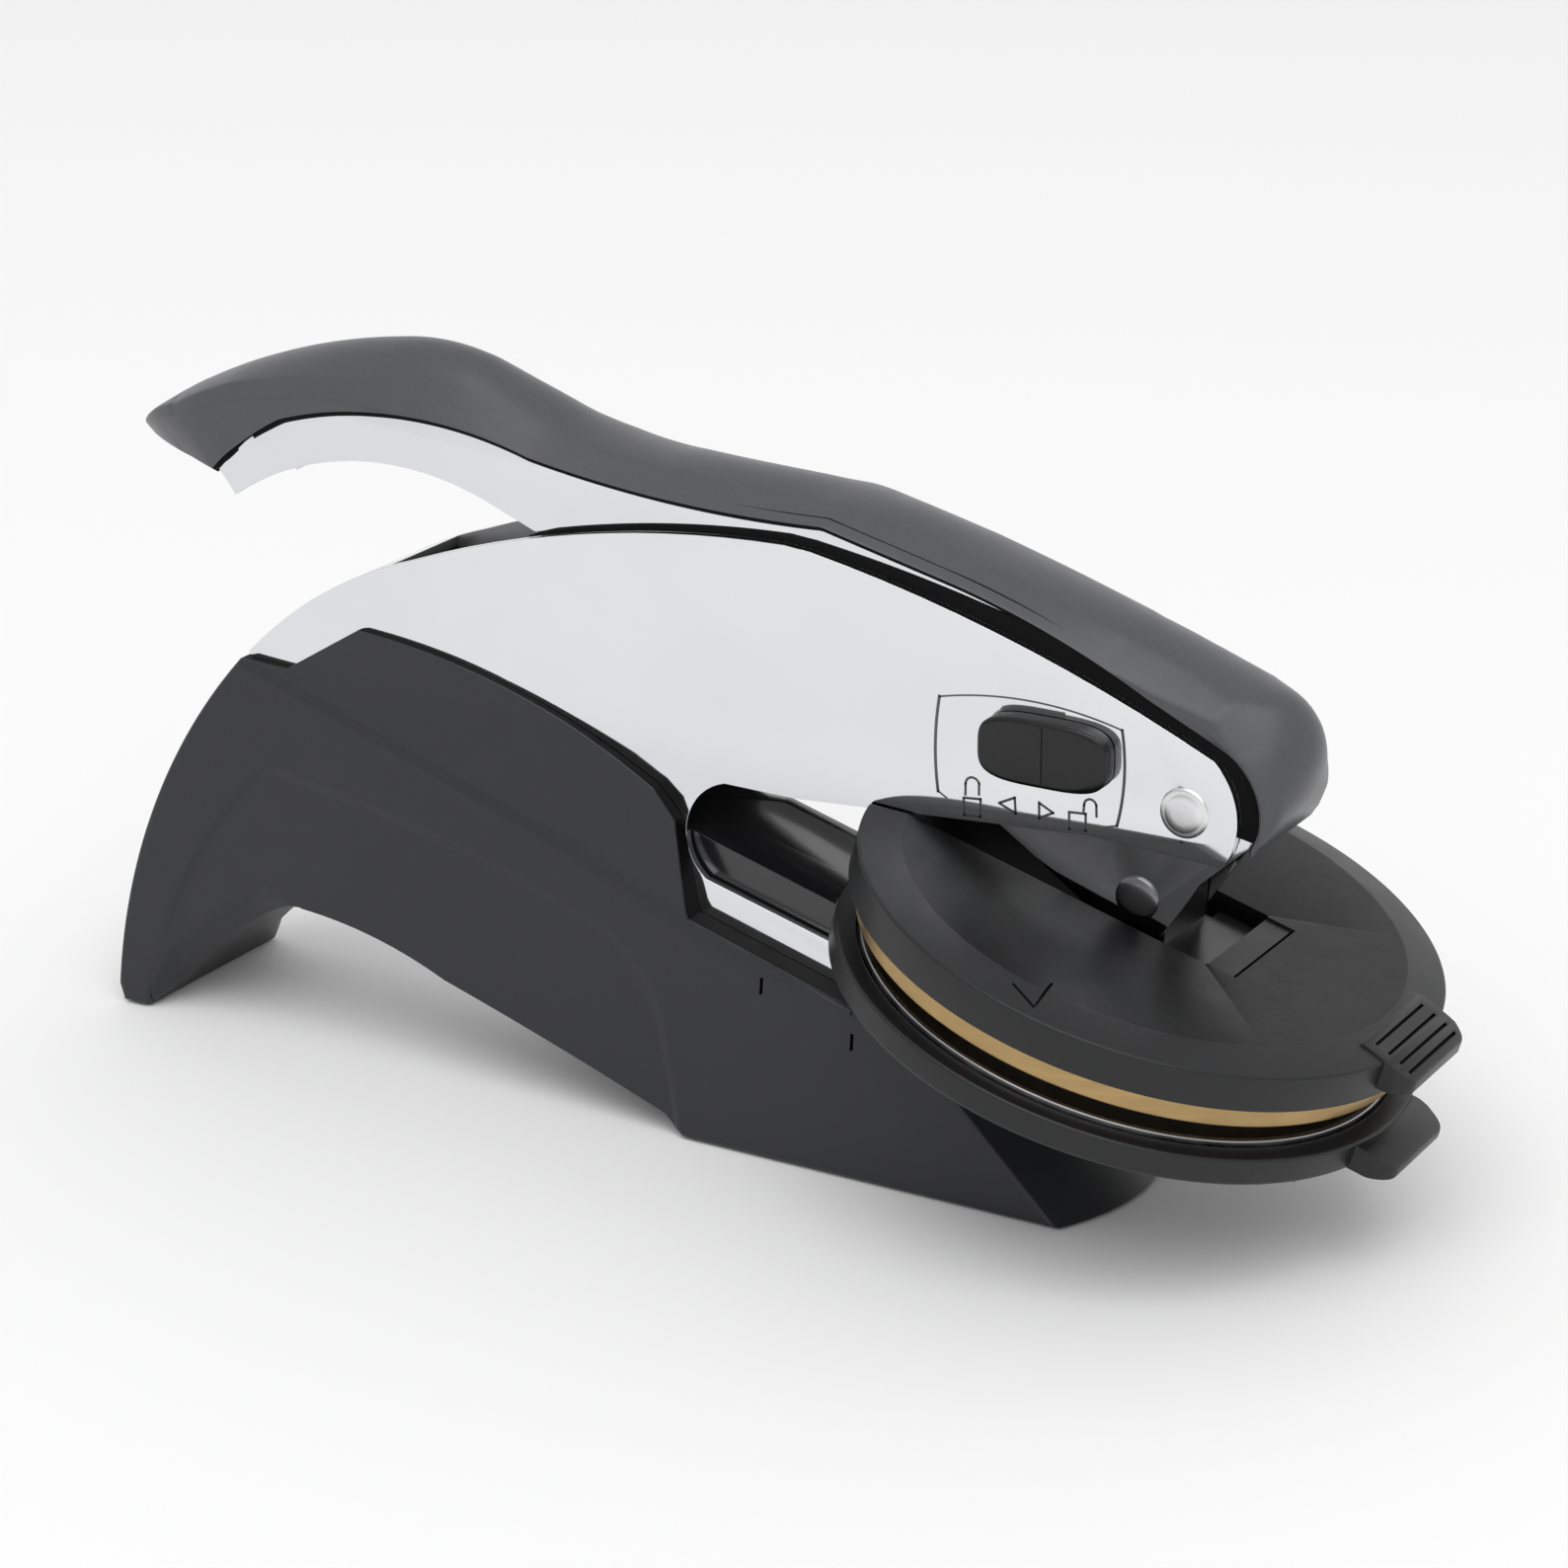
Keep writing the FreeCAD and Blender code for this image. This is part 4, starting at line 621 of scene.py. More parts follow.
def deckAt(shape, x):
    # height of the flat top before the discs, square to the dies' axis
    a = math.radians(dieFrame["tilt"])
    return dieFrame["z"] + (shape["deckLevel"] - (x - dieFrame["x"]) * math.sin(a)) / math.cos(a)


def flareAt(shape, z):
    # half width, which grows evenly from the panel's top down to the feet
    share = np.clip((shape["flareTop"] - z) / shape["flareTop"], 0, 1)
    return shape["panelHalf"] + (shape["footHalf"] - shape["panelHalf"]) * share


def bulgeAt(shape, half):
    # how far the rounded bow stands out before its side edge, a parabola across
    return (shape["bowNose"] - shape["bowSide"]) * (half / shape["bowReach"]) ** 2


def baseLines(shape):
    # the upper and the lower outline of a flank, and the leaning edge where it meets the bow
    z = np.linspace(shape["lift"], shape["bowTop"], 200)
    bowX = shape["bowNose"] - bulgeAt(shape, flareAt(shape, z)) - shape["bowLean"] * z
    meet = np.argmax(deckAt(shape, bowX) < z)
    bowLine = np.c_[bowX, z][:meet][::-1]
    deckX = np.arange(shape["deckFrom"], bowLine[0, 0] - 0.1, shape["deckStep"])
    soleX = np.arange(shape["soleFrom"], bowLine[-1, 0], shape["soleStep"])
    topLine = np.vstack([
        drawLine(shape["heel"], shape["step"]), drawLine(shape["panel"], shape["step"])[1:],
        np.c_[deckX, deckAt(shape, deckX)], bowLine[::3], bowLine[-1:]])
    lowLine = np.vstack([drawLine(shape["under"], shape["step"]),
                         np.c_[soleX, np.full(len(soleX), shape["lift"])], bowLine[-1:]])
    return topLine, lowLine, bowLine


def baseRows(shape, lines):
    # heights of the rows between the outlines and the two creases, closer near each of them
    near, between = np.array([0, 0.05, 0.13, 0.26, 0.45, 0.7, 1.0]), np.linspace(0, 1, 13)[1:-1]
    most, share = shape["margin"]
    bands = []
    for bottom, upper in zip(lines[:-1], lines[1:]):
        margin = np.minimum(most, share * (upper - bottom)[:, None])
        lower = bottom[:, None] + margin * near
        higher = upper[:, None] - margin * near[::-1]
        middle = lower[:, -1:] + (higher[:, :1] - lower[:, -1:]) * between
        bands.append(np.hstack([lower, middle, higher]))
    return np.hstack([bands[0], bands[1][:, 1:], bands[2][:, 1:]])


def baseSink(shape, flat, x, above, below, outlines, creases):
    # how far each point of a flank lies inside the flare: the panel and the arch are sunk by an
    # S-curve across their crease, the bow's side turns in, and the edges follow quarter rounds
    (topLine, lowLine), (panelLine, archLine, frontLine) = outlines, creases
    toPanel, toArch = gapTo(flat, panelLine), gapTo(flat, archLine)
    overPanel = flat[:, 1] > np.interp(flat[:, 0], x, above)
    underArch = (flat[:, 1] < np.interp(flat[:, 0], x, below)) & (flat[:, 0] > archLine[0, 0])
    blend = shape["softLeast"] + shape["softGain"] * ease(flat[:, 0], *shape["softSpan"])
    fade = 1 - ease(flat[:, 0], *shape["panelEnd"])
    sink = shape["panelSink"] * fade * ease(np.where(overPanel, toPanel, -toPanel) / blend, -1, 1)
    sink += shape["archSink"] * ease(
        np.where(underArch, toArch, -toArch) / shape["archBlend"], -1, 1) * ease(
        flat[:, 0], *shape["archStart"])
    front = flat[:, 0] > np.interp(-flat[:, 1], -frontLine[:, 1], frontLine[:, 0])
    sink += shape["frontTurn"] * gapTo(flat, frontLine) * front * (flat[:, 1] < frontLine[0, 1])
    # a big round at the leg's inner edge, a small one elsewhere
    radius = shape["edge"] + (shape["legEdge"] - shape["edge"]) * (
        1 - ease(flat[:, 0], *shape["legEnd"])) * ease(flat[:, 0], *shape["legStart"])
    toEdge = gapTo(flat, np.vstack([topLine, lowLine[::-1]]))
    for gap, r in ((toEdge, np.full(len(flat), shape["edge"])), (gapTo(flat, lowLine), radius)):
        inside = np.clip(r - gap, 0, None)
        curve = r - np.sqrt(np.maximum(r ** 2 - inside ** 2, 0))
        sink = np.maximum(sink, curve + sink * (inside <= 0))
    return sink


def makeBase(shape):
    # two flanks as grids of (length, height), closed by strips across along both outlines
    topLine, lowLine, bowLine = baseLines(shape)
    x = np.unique(np.round(np.r_[topLine[:, 0], lowLine[:, 0]], 3))
    x = x[np.r_[True, np.diff(x) > 0.02]]
    top = np.interp(x, topLine[:, 0], topLine[:, 1])
    low = np.interp(x, lowLine[:, 0], lowLine[:, 1])
    creases = [drawLine(shape[key], shape["creaseStep"]) for key in (
        "panelCrease", "archCrease", "frontCrease")]
    panelLine, archLine = creases[:2]
    above = np.where(x > panelLine[-1, 0], top,
                     np.minimum(top, np.interp(x, panelLine[:, 0], panelLine[:, 1])))
    overArch = (x > archLine[0, 0]) & (x < archLine[-1, 0])
    below = np.where(
        overArch, np.clip(np.interp(x, archLine[:, 0], archLine[:, 1]), low, above), low)
    z = baseRows(shape, (low, below, above, top))
    flat = np.stack([np.repeat(x[:, None], z.shape[1], 1), z], -1).reshape(-1, 2)
    sink = baseSink(shape, flat, x, above, below, (topLine, lowLine), creases)
    y = (flareAt(shape, flat[:, 1]) - sink).reshape(z.shape)
    sides = [np.stack([np.repeat(x[:, None], z.shape[1], 1), sign * y, z], -1)
             for sign in (-1, 1)]
    across = np.linspace(-1, 1, 25)
    slope = np.where(x < bowLine[0, 0], -math.tan(math.radians(dieFrame["tilt"])), 0)
    strips = []
    for edgeZ, edgeY, tilt, bowStart, length in (
            (top, y[:, -1], slope, bowLine[0, 0], shape["topSwell"]),
            (low, y[:, 0], np.zeros_like(x), bowLine[-1, 0], shape["soleSwell"])):
        swell = bulgeAt(shape, edgeY) * ease(x, bowStart - length, bowStart)
        push = swell[:, None] * (1 - across ** 2)
        strips.append(np.stack([x[:, None] + push, edgeY[:, None] * across,
                                edgeZ[:, None] + push * tilt[:, None]], -1))
    marks = [np.zeros((len(x) - 1, n - 1), int) for n in [z.shape[1]] * 2 + [len(across)] * 2]
    # the top strip beside the frame's slot, up to this point, takes the near-black: painted shade
    # of the gap between the plastic and the chrome
    marks[2][(x[:-1] > shape["panel"][0][0]) & (x[:-1] < shape["paintedShadeUntil"])] = 1
    return joinGrids("base_moulding", sides + strips, marks)


def baseCutters(shape):
    # the slot that holds the frame, and the short ticks on both flanks
    cutters = [prism("slot_cutter", shape["slot"], -shape["slotHalf"], shape["slotHalf"])]
    wide, tall, out = shape["notchWide"] / 2, shape["notchTall"] / 2, shape["footHalf"] + 1
    for x, z in shape["notches"]:
        deep = flareAt(shape, z) - shape["notchDeep"]
        tick = [(x - wide, z - tall), (x + wide, z - tall * 0.8), (x + wide, z + tall),
                (x - wide, z + tall)]
        # the ticks' walls take the near-black (mark 1): painted shade in their hollows
        cutters += [prism("notch", tick, *sorted((sign * deep, sign * out)), mark=1)
                    for sign in (-1, 1)]
    return cutters


base = combine(makeBase(baseShape), baseCutters(baseShape), "DIFFERENCE")
shadeByAngle(base, 30)
finished(base, "base", ["base_body"], "base_plastic", blackBase, paintedShadeBlack)
print("base made:", len(base.data.polygons), "faces")

frameShape = dict(edge=0.22, inner=6.62, middle=(-5.0, 45.0), turned=0.7)


def innerMarks(item, shape):
    # 1 on faces that look into the folded channel: dull unplated steel, whose darker tone also
    # paints the channel's shade
    centre, normal = faceCentres(item)
    inward = (shape["middle"][0] - centre[:, 0]) * normal[:, 0] + (
        shape["middle"][1] - centre[:, 2]) * normal[:, 2]
    marks = marksOf(item)
    marks[(np.abs(centre[:, 1]) < shape["inner"]) & (
        (inward > 0) | (np.abs(normal[:, 1]) > shape["turned"])) & (marks == 0)] = 1
    return marks


shell = softenEdges(copyOfNode("frame_shell", "frame_cheeks"), frameShape["edge"])
shadeByAngle(shell, 22, (0, 1, 0))
finished(shell, "base", ["frame_shell"], "frame_chrome", chrome, unplatedShadeSteel,
         marks=innerMarks(shell, frameShape))

# the border and the signs of the lock; a border line comes with its own width
lockMarks = dict(
    depth=0.2, line=0.28, face=7.5, proud=0.012,
    border=[([(23.15, 44.7), (22.76, 50.0, "arc"), (23.17, 55.2)], 0.36),
            ([(23.17, 55.2), (33.7, 56.5, "arc"), (44.36, 55.15)], 0.2),
            ([(44.36, 55.15), (44.75, 50.0, "arc"), (44.05, 44.7)], 0.34),
            ([(44.05, 44.7), (42.8, 44.35)], 0.2), ([(23.15, 44.7), (24.2, 44.1)], 0.2)],
    icons=[[(26.4, 44.9), (26.4, 46.1), (27.2, 46.95, "arc"), (28.0, 46.4), (28.0, 45.2)],
           [(26.2, 44.5), (28.2, 44.7), (28.2, 42.75), (26.3, 42.6), (26.2, 44.3)],
           [(30.4, 44.7), (32.2, 45.6), (32.35, 43.9), (30.6, 44.6)],
           [(35.05, 45.6), (35.1, 43.9), (36.7, 44.75), (35.2, 45.5)],
           [(38.55, 45.2), (40.45, 45.35), (40.5, 43.5), (38.6, 43.35), (38.55, 45.0)],
           [(40.2, 45.6), (40.25, 46.3), (40.95, 47.05, "arc"), (41.65, 46.5), (41.7, 45.3)]])


def makeMarks(shape):
    # every line of the border and the signs as a flush bar of its own
    points, faces = [], []
    paths = shape["border"] + [(path, shape["line"]) for path in shape["icons"]]
    for outline in (line for path, width in paths for line in penStrokes(path, width)):
        count, start = len(outline), sum(len(p) for p in points)
        for y in (-shape["face"] - shape["proud"], -shape["face"] + shape["depth"]):
            points.append(np.c_[outline[:, 0], np.full(count, y), outline[:, 1]])
        around = np.arange(count)
        after = (around + 1) % count
        faces += [(start + around).tolist(), (start + count + around[::-1]).tolist()]
        faces += (start + np.c_[around, after, after + count, around + count]).tolist()
    return meshFrom("lock_marks", np.vstack(points), faces, False)


finished(makeMarks(lockMarks), "base", ["frame_shell"], "frame_chrome", engraved)

leverShape = dict(edge=0.34, roofOver=0.3, slice=0.5, lipFrom=-63, lipTo=55,
                  rear=(-64, -58), front=(51, 54), reach=(-0.2, 0.6))


def lowerRoof(item, shape):
    # the roof of each slice of the lever comes down to just over the lip of the cover
    spots = vectorsOf(item.data.vertices, "co")
    x = spots[:, 0] / mm
    lip = drawLine(coverShape["lip"], 0.5)
    lip = lip[(lip[:, 0] > shape["lipFrom"]) & (lip[:, 0] < shape["lipTo"])]
    aboveLip = spots[:, 2] / mm - np.interp(x, lip[:, 0], lip[:, 1])
    slices = np.round(x / shape["slice"]).astype(int)
    slices -= slices.min()
    roofTop = np.full(slices.max() + 1, -np.inf)
    np.maximum.at(roofTop, slices, aboveLip)
    held, steps = np.isfinite(roofTop), np.arange(len(roofTop))
    drop = np.maximum(np.interp(steps, steps[held], roofTop[held]) - shape["roofOver"], 0)
    inside = ease(x, *shape["rear"]) * (1 - ease(x, *shape["front"]))
    spots[:, 2] -= drop[slices] * mm * ease(aboveLip, *shape["reach"]) * inside
    item.data.vertices.foreach_set("co", spots.ravel())


channel = softenEdges(copyOfNode("lever", "lever_channel"), leverShape["edge"])
lowerRoof(channel, leverShape)
shadeByAngle(channel, 22, (0, 1, 0))
finished(channel, "handle", ["lever"], "lever_chrome", leverChrome)

# a head is a list of (radius, height over the face) from the middle outwards
axleShape = dict(place=(51.6, 47.5), face=7.5, radius=1.6, head=[
    (0.001, 0.44), (1.2, 0.43), (1.75, 0.40), (1.95, 0.33), (2.1, 0.27), (2.25, 0.26),
    (2.45, 0.24), (2.6, 0.16), (2.7, 0.06), (2.72, 0)])
rivetShape = dict(place=(46.0, 36.7), face=6.3, radius=1.5, headRadius=2.45, headTall=0.54)
rivetShape["head"] = [
    (0.001 + rivetShape["headRadius"] * math.sin(t), rivetShape["headTall"] * math.cos(t) ** 0.8)
    for t in np.linspace(0, math.pi / 2 - 0.01, 9)] + [(rivetShape["headRadius"], 0)]


def bothHeads(name, shape):
    # a shaft across the frame with the same head at either end, turned about its own axis
    outer = [(r, shape["face"] + h) for r, h in shape["head"]]
    profile = [(r, -y) for r, y in outer] + [
        (shape["radius"], -shape["face"]), (shape["radius"], shape["face"])] + outer[::-1]

    def crossways(p):
        return np.c_[shape["place"][0] + p[:, 0], p[:, 2], shape["place"][1] + p[:, 1]]

    item = turnedPiece(name, profile, crossways, 96)
    return shadeByAngle(item, 60)


finished(bothHeads("axle_heads", axleShape), "base", ["pivot_axle"], "frame_chrome", satin)
finished(bothHeads("dome_rivet", rivetShape), "handle", ["press_pin"], "black_steel", darkSteel)
print("frame and lever made")

upperShape = dict(
    rim=32.0, plateau=27.5, rise=1.0, wall=4.1, slotHalf=7.8, floor=-2.5, barRear=9.9,
    barUnder=-0.45, pocketEnd=16.3, rear=-34.0, grooveAt=13.1, grooveWide=0.45,
    grooveDeep=0.5, relief=(-27.7, -2.6), barSink=0.3, barHalf=7.5,
    tabHalf=7.6, tabRoot=28.0, tabEnd=34.45, tabCorner=2.2, tabDroop=1.0, tabThick=1.6,
    tabUnder=-3.0, slotDrop=2.2, edge=0.14,
    ribs=[29.2, 30.75, 32.2, 33.4], ribWide=0.34, ribDeep=0.3, ribHalf=6.1,
    arrow=[(-1.8, -28.8), (1.6, -30.4), (0.95, -25.7)], arrowWide=0.3, arrowFloor=0.16)


def rounded(points, radius, count=5):
    # a profile with its corners rounded by parabolas; points of (r, h) or (r, h, own radius)
    out = []
    for index, point in enumerate(points):
        p = np.array(point[:2], float)
        r = point[2] if len(point) == 3 else radius
        if index in (0, len(points) - 1) or r == 0:
            out.append(p)
            continue
        before = np.array(points[index - 1][:2], float) - p
        after = np.array(points[index + 1][:2], float) - p
        reach = min(r, np.hypot(*before) * 0.45, np.hypot(*after) * 0.45)
        start, end = p + before / np.hypot(*before) * reach, p + after / np.hypot(*after) * reach
        for share in np.linspace(0, 1, count):
            out.append(start * (1 - share) ** 2 + 2 * p * share * (1 - share) + end * share ** 2)
    return np.array(out)


def planPrism(name, outline, low, high, mark=0):
    # an outline of (along, across) between two heights above the rim
    def standing(p):
        return tilted(np.c_[p[:, 0], p[:, 2], p[:, 1]])
    return prism(name, outline, low, high, standing, mark)


# the plan that both discs' tabs are kept to, seen along the dies' axis
tabPlan = dict(root=20, over=0.4, rootRound=1.0, taper=1.0, play=0.01, swell=0.5,
               noseRound=8.0, heights=(-20, 10))


def makeTab(name, shape, side, corner):
    # a side profile across, kept to a plan with round outer corners
    tab = prism(name, side, -shape["tabHalf"], shape["tabHalf"], tilted)
    plan, root, rim = tabPlan, tabPlan["root"], shape["rim"]
    end, wide = shape["tabEnd"] + plan["play"], shape["tabHalf"] + plan["over"]
    narrow, rootRound = shape["tabHalf"] - plan["taper"], plan["rootRound"]
    keeper = planPrism("plan", rounded([
        (root, -wide), (rim, -wide, rootRound), (end, -narrow, corner),
        (end + plan["swell"], 0, plan["noseRound"]), (end, narrow, corner),
        (rim, wide, rootRound), (root, wide)], corner, 9), *plan["heights"])
    return combine(tab, [keeper], "INTERSECT")


def upperCuts(s, slope):
    # the sunk bar with its groove, the grip lines on the tab and the arrow
    half, wide = s["grooveWide"] / 2, s["ribWide"] / 2
    level, clear = s["rise"] - s["barSink"], 3
    barWide, ribLong = (-s["barHalf"], s["barHalf"]), (-s["ribHalf"], s["ribHalf"])
    # the groove and the grip lines take the near-black (mark 2) as painted shade in their hollows;
    # the bar and the arrow take the rim plastic (mark 1)
    cuts = [box("bar", (s["barRear"] - 1, s["grooveAt"]), (level, clear), barWide, tilted, 1),
            box("groove", (s["grooveAt"] - half, s["grooveAt"] + half),
                (level - s["grooveDeep"], clear), barWide, tilted, 2)]
    droop = s["tabDroop"] / (s["tabEnd"] - s["rim"])
    for at in s["ribs"]:
        floor = (s["rim"] - at) * (slope if at < s["rim"] else droop) - s["ribDeep"]
        cuts.append(box("rib", (at - wide, at + wide), (floor, 2), ribLong, tilted, 2))
    for start, end in zip(s["arrow"][:-1], s["arrow"][1:]):
        line = stroke([start, end], s["arrowWide"])
        cuts.append(planPrism("arrow", line, s["arrowFloor"], 2, 1))
    return cuts


def makeUpperDisc(s):
    # a turned plate with a raised middle and a tab, and the slot for the shoe cut across it
    disc = turnedPiece("upper_disc_plate", rounded([
        (0.001, -s["wall"]), (s["rim"], -s["wall"]), (s["rim"], 0, 0.3),
        (s["plateau"], s["rise"], 0.25), (0.001, s["rise"])], 0.25), tilted)
    slope = s["rise"] / (s["rim"] - s["plateau"])
    lowTip = -s["tabDroop"] - s["tabThick"]
    tab = makeTab("tab", s, rounded([
        (s["tabRoot"], s["tabUnder"]), (s["tabRoot"], (s["rim"] - s["tabRoot"]) * slope + 0.03),
        (s["rim"], 0.03, 1.5), (s["tabEnd"], -s["tabDroop"]), (s["tabEnd"], lowTip),
        (s["rim"], lowTip - 0.4), (s["tabRoot"], s["tabUnder"] - 0.2)], 0.35), s["tabCorner"])
    combine(disc, [tab], "UNION")
    # the slot's walls take the near-black (mark 2): painted shade inside the slot
    slot = prism("slot", [(s["rear"], 4), (s["barRear"], 4), (s["barRear"], s["barUnder"]),
                          (s["pocketEnd"], s["barUnder"]), (s["pocketEnd"], s["floor"]),
                          s["relief"], (s["rear"], s["floor"] - s["slotDrop"])],
                 -s["slotHalf"], s["slotHalf"], tilted, 2)
    combine(disc, [slot], "DIFFERENCE")
    softenEdges(disc, s["edge"], 32, 2)
    return combine(disc, upperCuts(s, slope), "DIFFERENCE")


upper = makeUpperDisc(upperShape)
discAxis = tilted([(0, 0, 1)])[0] - tilted([(0, 0, 0)])[0]
shadeByAngle(upper, 25, discAxis)
place = untilted(faceCentres(upper)[0])
marks = marksOf(upper)
onPlateau = (np.hypot(place[:, 0], place[:, 1]) < upperShape["plateau"] - 0.05) & (
    place[:, 2] > upperShape["rise"] - 0.02)
marks[(marks == 0) & ~onPlateau] = 1
finished(upper, "upper", ["upper_disc"], "insert_plastic", blackDisc, rimPlastic, paintedShadeBlack,
         marks=marks)

lowerShape = dict(rim=32.0, rimTop=-9.9, bottom=-13.1, recess=29.6, floor=-10.9, edge=0.2,
                  tabHalf=7.4, tabEnd=35.7, tabCorner=3.0,
                  tabSide=[(30.0, -12.9), (30.0, -10.2), (32.0, -10.2), (35.7, -11.3),
                           (35.7, -12.6), (33.6, -13.05), (30.0, -13.05)])
lower = turnedPiece("lower_disc_plate", rounded([
    (0.001, lowerShape["bottom"]), (lowerShape["rim"], lowerShape["bottom"], 0.6),
    (lowerShape["rim"], lowerShape["rimTop"], 0.45),
    (lowerShape["recess"], lowerShape["rimTop"], 0.3),
    (lowerShape["recess"], lowerShape["floor"]), (0.001, lowerShape["floor"])], 0.2), tilted)
lowTab = makeTab("low_tab", lowerShape, rounded(lowerShape["tabSide"], 0.5),
                 lowerShape["tabCorner"])
combine(lower, [lowTab], "UNION")
softenEdges(lower, lowerShape["edge"], 35, 2)
shadeByAngle(lower, 30)
finished(lower, "insert", ["lower_disc"], "insert_plastic", rimPlastic)

# profiles of (radius, height above the upper rim)
bandShape = dict(profile=[(0.001, -6.9), (30.6, -6.9), (30.6, -4.1), (0.001, -4.1)], edge=0.3)
band = turnedPiece("brass_band", rounded(bandShape["profile"], bandShape["edge"]), tilted)
shadeByAngle(band, 40)
finished(band, "upper", ["brass_plate"], "brass", brass)

plateShape = dict(profile=[(0.001, -10.9), (29.4, -10.9), (29.4, -9.35, 0.3), (28.9, -9.35),
                           (28.7, -9.5), (0.001, -9.5)], edge=0.1, silverFrom=28.9, under=-10.0)
plateDisc = turnedPiece("lower_plate_disc", rounded(plateShape["profile"], plateShape["edge"]),
                        tilted)
shadeByAngle(plateDisc, 40)
place = untilted(faceCentres(plateDisc)[0])
isCarrier = (np.hypot(place[:, 0], place[:, 1]) < plateShape["silverFrom"]) & (
    place[:, 2] > plateShape["under"])
finished(plateDisc, "insert", ["lower_plate"], "silver_plate", silver, carrierBlack,
         marks=isCarrier)
print("discs made")

slideShape = dict(edge=0.5, angle=30, segments=4)
slide = softenEdges(copyOfNode("slide_block", "slide_tail"), *slideShape.values())
shadeByAngle(slide, 35)
finished(slide, "insert", ["slide_block"], "slide_plastic", glossSlide)

buttonShape = dict(x=36.18, z=51.6, half=7.43, tall=3.62, power=3.6, back=7.66, face=9.85,
                   corner=0.5, frontCorner=2.1, around=128, rings=9)
ridgeShape = dict(along=(35.95, 36.35), up=(48.6, 54.6), face=9.97, sunk=0.3)


def makeButton(shape):
    # a rounded oblong |x/a|^n + |z/b|^n = 1 with a quarter round to its face: a ring at the
    # angle t is moved in by r (1 - cos t) and out by r sin t, with a longer r at the front
    count = shape["around"]
    angle = np.linspace(0, 2 * math.pi, count, endpoint=False)
    curve = np.c_[np.cos(angle), np.sin(angle)]
    curve = np.sign(curve) * np.abs(curve) ** (2 / shape["power"])
    corner = np.where(curve[:, 0] > 0, shape["frontCorner"], shape["corner"])
    rings = [np.c_[curve[:, 0] * shape["half"], np.full(count, -shape["back"]),
                   curve[:, 1] * shape["tall"]]]
    for turn in np.linspace(0, math.pi / 2, shape["rings"]):
        inward = 1 - math.cos(turn)
        rings.append(np.c_[
            curve[:, 0] * (shape["half"] - corner * inward),
            np.full(count, -shape["face"] + shape["corner"] * (1 - math.sin(turn))),
            curve[:, 1] * (shape["tall"] - shape["corner"] * inward)])
    points = np.vstack(rings) + (shape["x"], 0, shape["z"])
    faces = gridFaces(len(rings), count, closedColumns=True)
    faces += [list(range(count)), list(range(len(points) - 1, len(points) - count - 1, -1))]
    return meshFrom("lock_slider", points, faces)


button = makeButton(buttonShape)
shadeByAngle(button, 40)
finished(button, "lock", ["lock_button"], "button_plastic", buttonBlack)
ridge = box("lock_ridge", ridgeShape["along"], ridgeShape["up"],
            (-ridgeShape["face"], ridgeShape["sunk"] - buttonShape["face"]))
finished(ridge, "lock", ["lock_button"], "button_plastic", buttonBlack)

# nodes that keep their own mesh and take a finish; all others here are bare steel
kept = dict(base_plate=blackBase, front_pad=rubber, rear_pad=rubber, rear_block=silver,
            pivot_bush=brass, press_shoe=shoeBlack, lower_die=ivory, upper_die=brass)
for node in ("base_screws", "anvil_bar", "jaw_pins", "frame_screws", "stop_pin", "anchor_pin",
             "return_spring", "cover_screws", "lock_stem", "lock_clip", "disc_screws",
             "guide_posts", "lift_springs", "die_screws"):
    kept[node] = steel
for node, material in kept.items():
    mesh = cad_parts[node].data
    mesh.materials.clear()
    mesh.materials.append(material)
print("kept nodes finished:", len(kept))

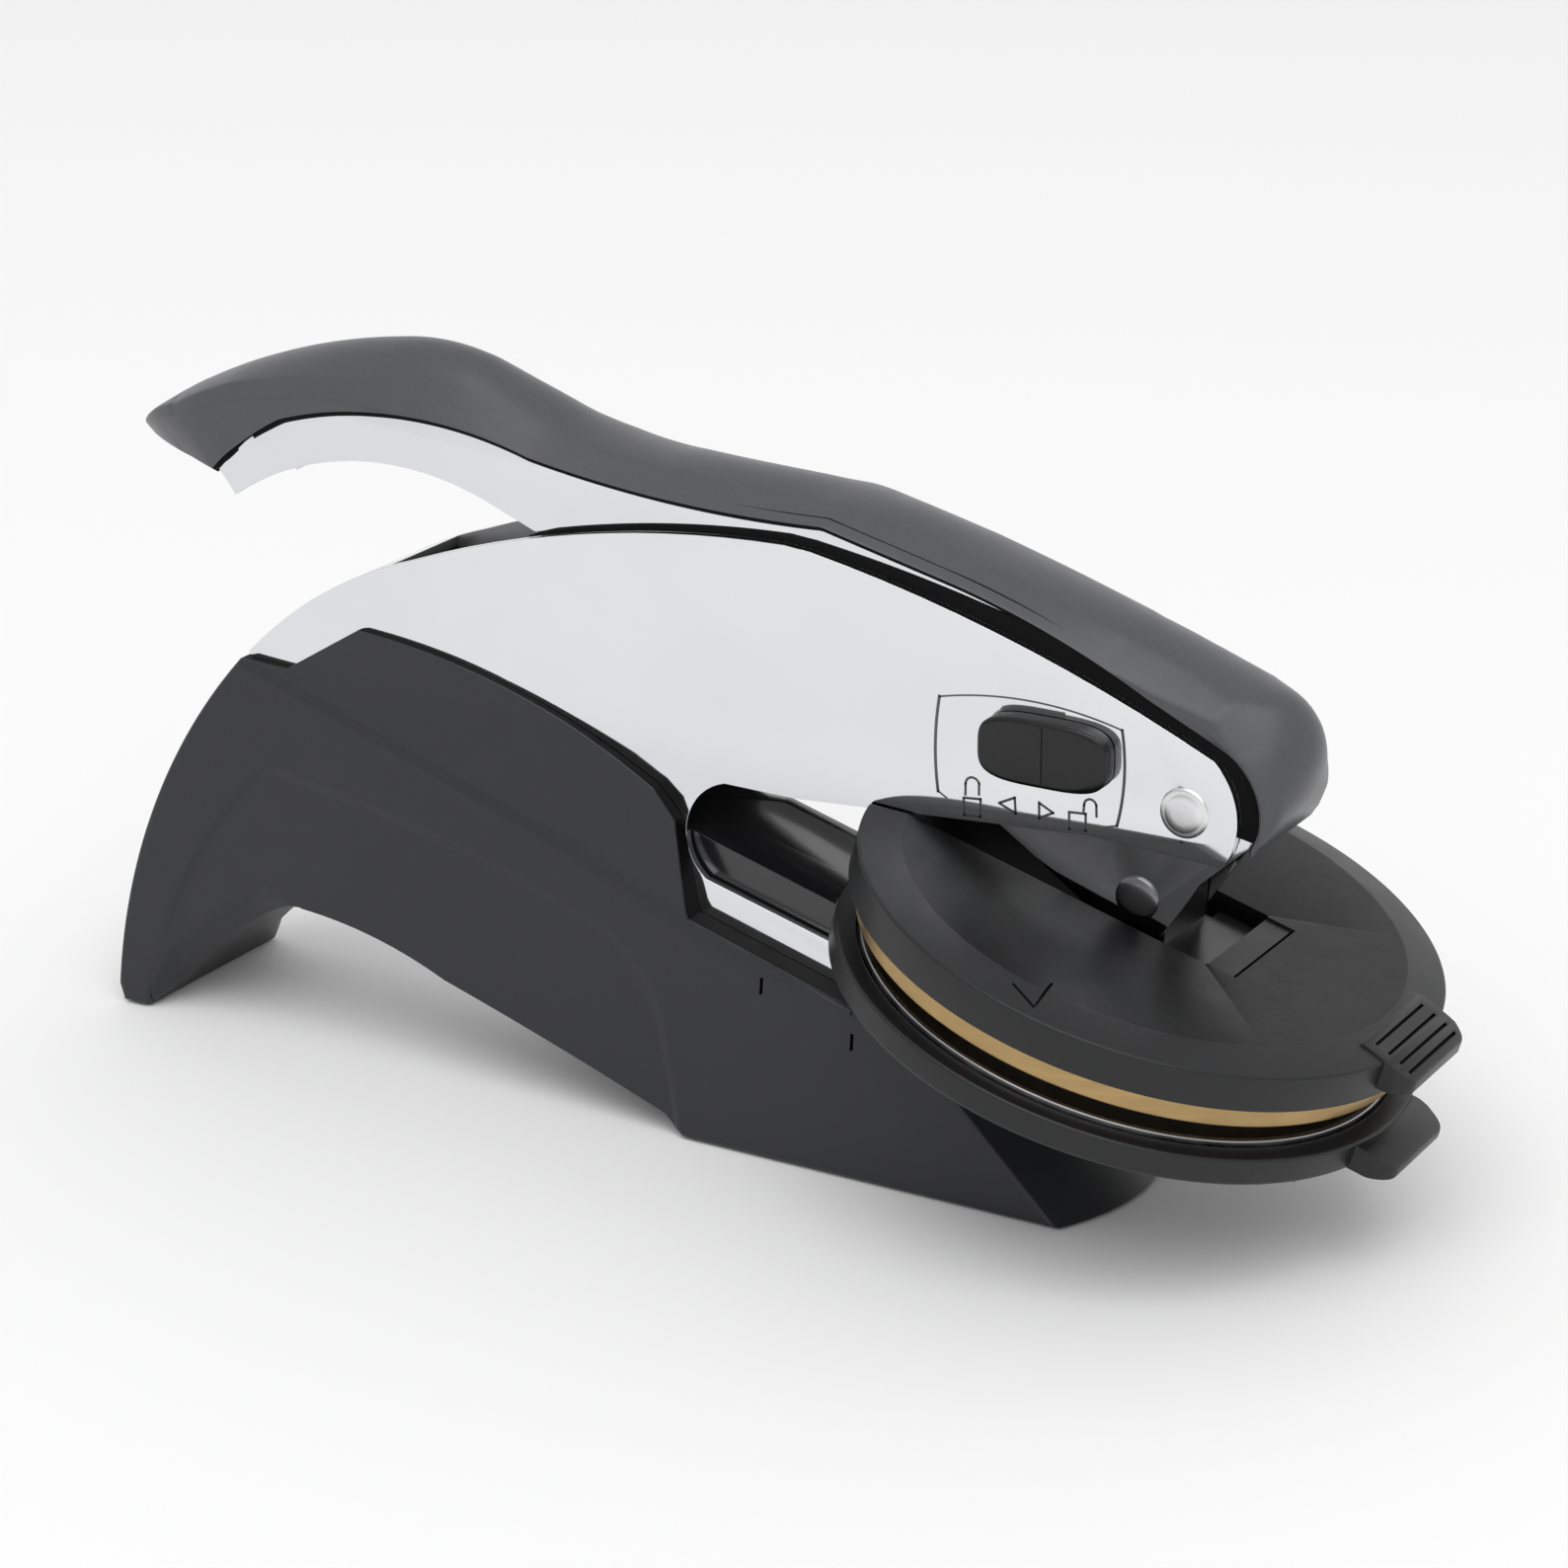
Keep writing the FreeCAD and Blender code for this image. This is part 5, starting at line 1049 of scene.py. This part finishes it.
# lamps as (name, place, aim, width, height, watts); the sky goes from front to rear tone
studio = dict(
    floor=0.90, floorHalf=4, front=0.52, rear=0.92, skySpan=(-1.0, 0.9),
    lamps=[("key", (0.5, -1.3, 2.2), (0, 0, 0.04), 2.8, 2.2, 38.0),
           ("fill", (0.9, -2.0, 0.9), (0, 0, 0.06), 2.2, 1.2, 3.0)])
reach = studio["floorHalf"]
floorMesh = bpy.data.meshes.new("floor")
floorMesh.from_pydata([(-reach, -reach, 0), (reach, -reach, 0), (reach, reach, 0),
                       (-reach, reach, 0)], [], [(0, 1, 2, 3)])
floor = placed("floor", floorMesh)
floorMaterial, _, floorShader = newMaterial("pale floor", Roughness=0.75)
floorShader.inputs["Base Color"].default_value = (studio["floor"],) * 3 + (1,)
floorMesh.materials.append(floorMaterial)

world = bpy.data.worlds.new("studio")
bpy.context.scene.world = world
world.use_nodes = True
skyTree = world.node_tree
skyPlace = addNode(skyTree, "ShaderNodeTexCoord")
skySplit = addNode(skyTree, "ShaderNodeSeparateXYZ")
skyTree.links.new(skyPlace.outputs["Generated"], skySplit.inputs["Vector"])
depth = addNode(skyTree, "ShaderNodeMapRange")
depth.inputs["From Min"].default_value, depth.inputs["From Max"].default_value = studio["skySpan"]
skyTree.links.new(skySplit.outputs["Y"], depth.inputs["Value"])
sky = rampNode(skyTree, depth.outputs["Result"], studio["front"], studio["rear"], 0.0, 1.0)
skyTree.links.new(sky.outputs["Color"], skyTree.nodes["Background"].inputs["Color"])
skyTree.nodes["Background"].inputs["Strength"].default_value = 1.0


def softbox(name, place, aim, wide, tall, power):
    light = bpy.data.lights.new(name, "AREA")
    light.shape = "RECTANGLE"
    light.size, light.size_y, light.energy = wide, tall, power
    item = placed(name, light)
    item.location = place
    item.rotation_euler = (Vector(aim) - Vector(place)).to_track_quat("-Z", "Y").to_euler()


for lamp in studio["lamps"]:
    softbox(*lamp)

view = dict(azimuth=30.3, elevation=19.9, distance=0.478, target=(0, 0, 0.0389), lens=100.2)
az, el = math.radians(view["azimuth"]), math.radians(view["elevation"])
back = Vector((math.sin(az) * math.cos(el), -math.cos(az) * math.cos(el), math.sin(el)))
camera = placed("camera", bpy.data.cameras.new("camera"))
camera.data.sensor_width = 36
camera.data.lens = view["lens"]
camera.data.clip_start = 0.01
camera.location = Vector(view["target"]) + back * view["distance"]
camera.rotation_euler = back.to_track_quat("Z", "Y").to_euler()
bpy.context.scene.camera = camera
bpy.context.scene.view_settings.view_transform = "Standard"
print("studio made")
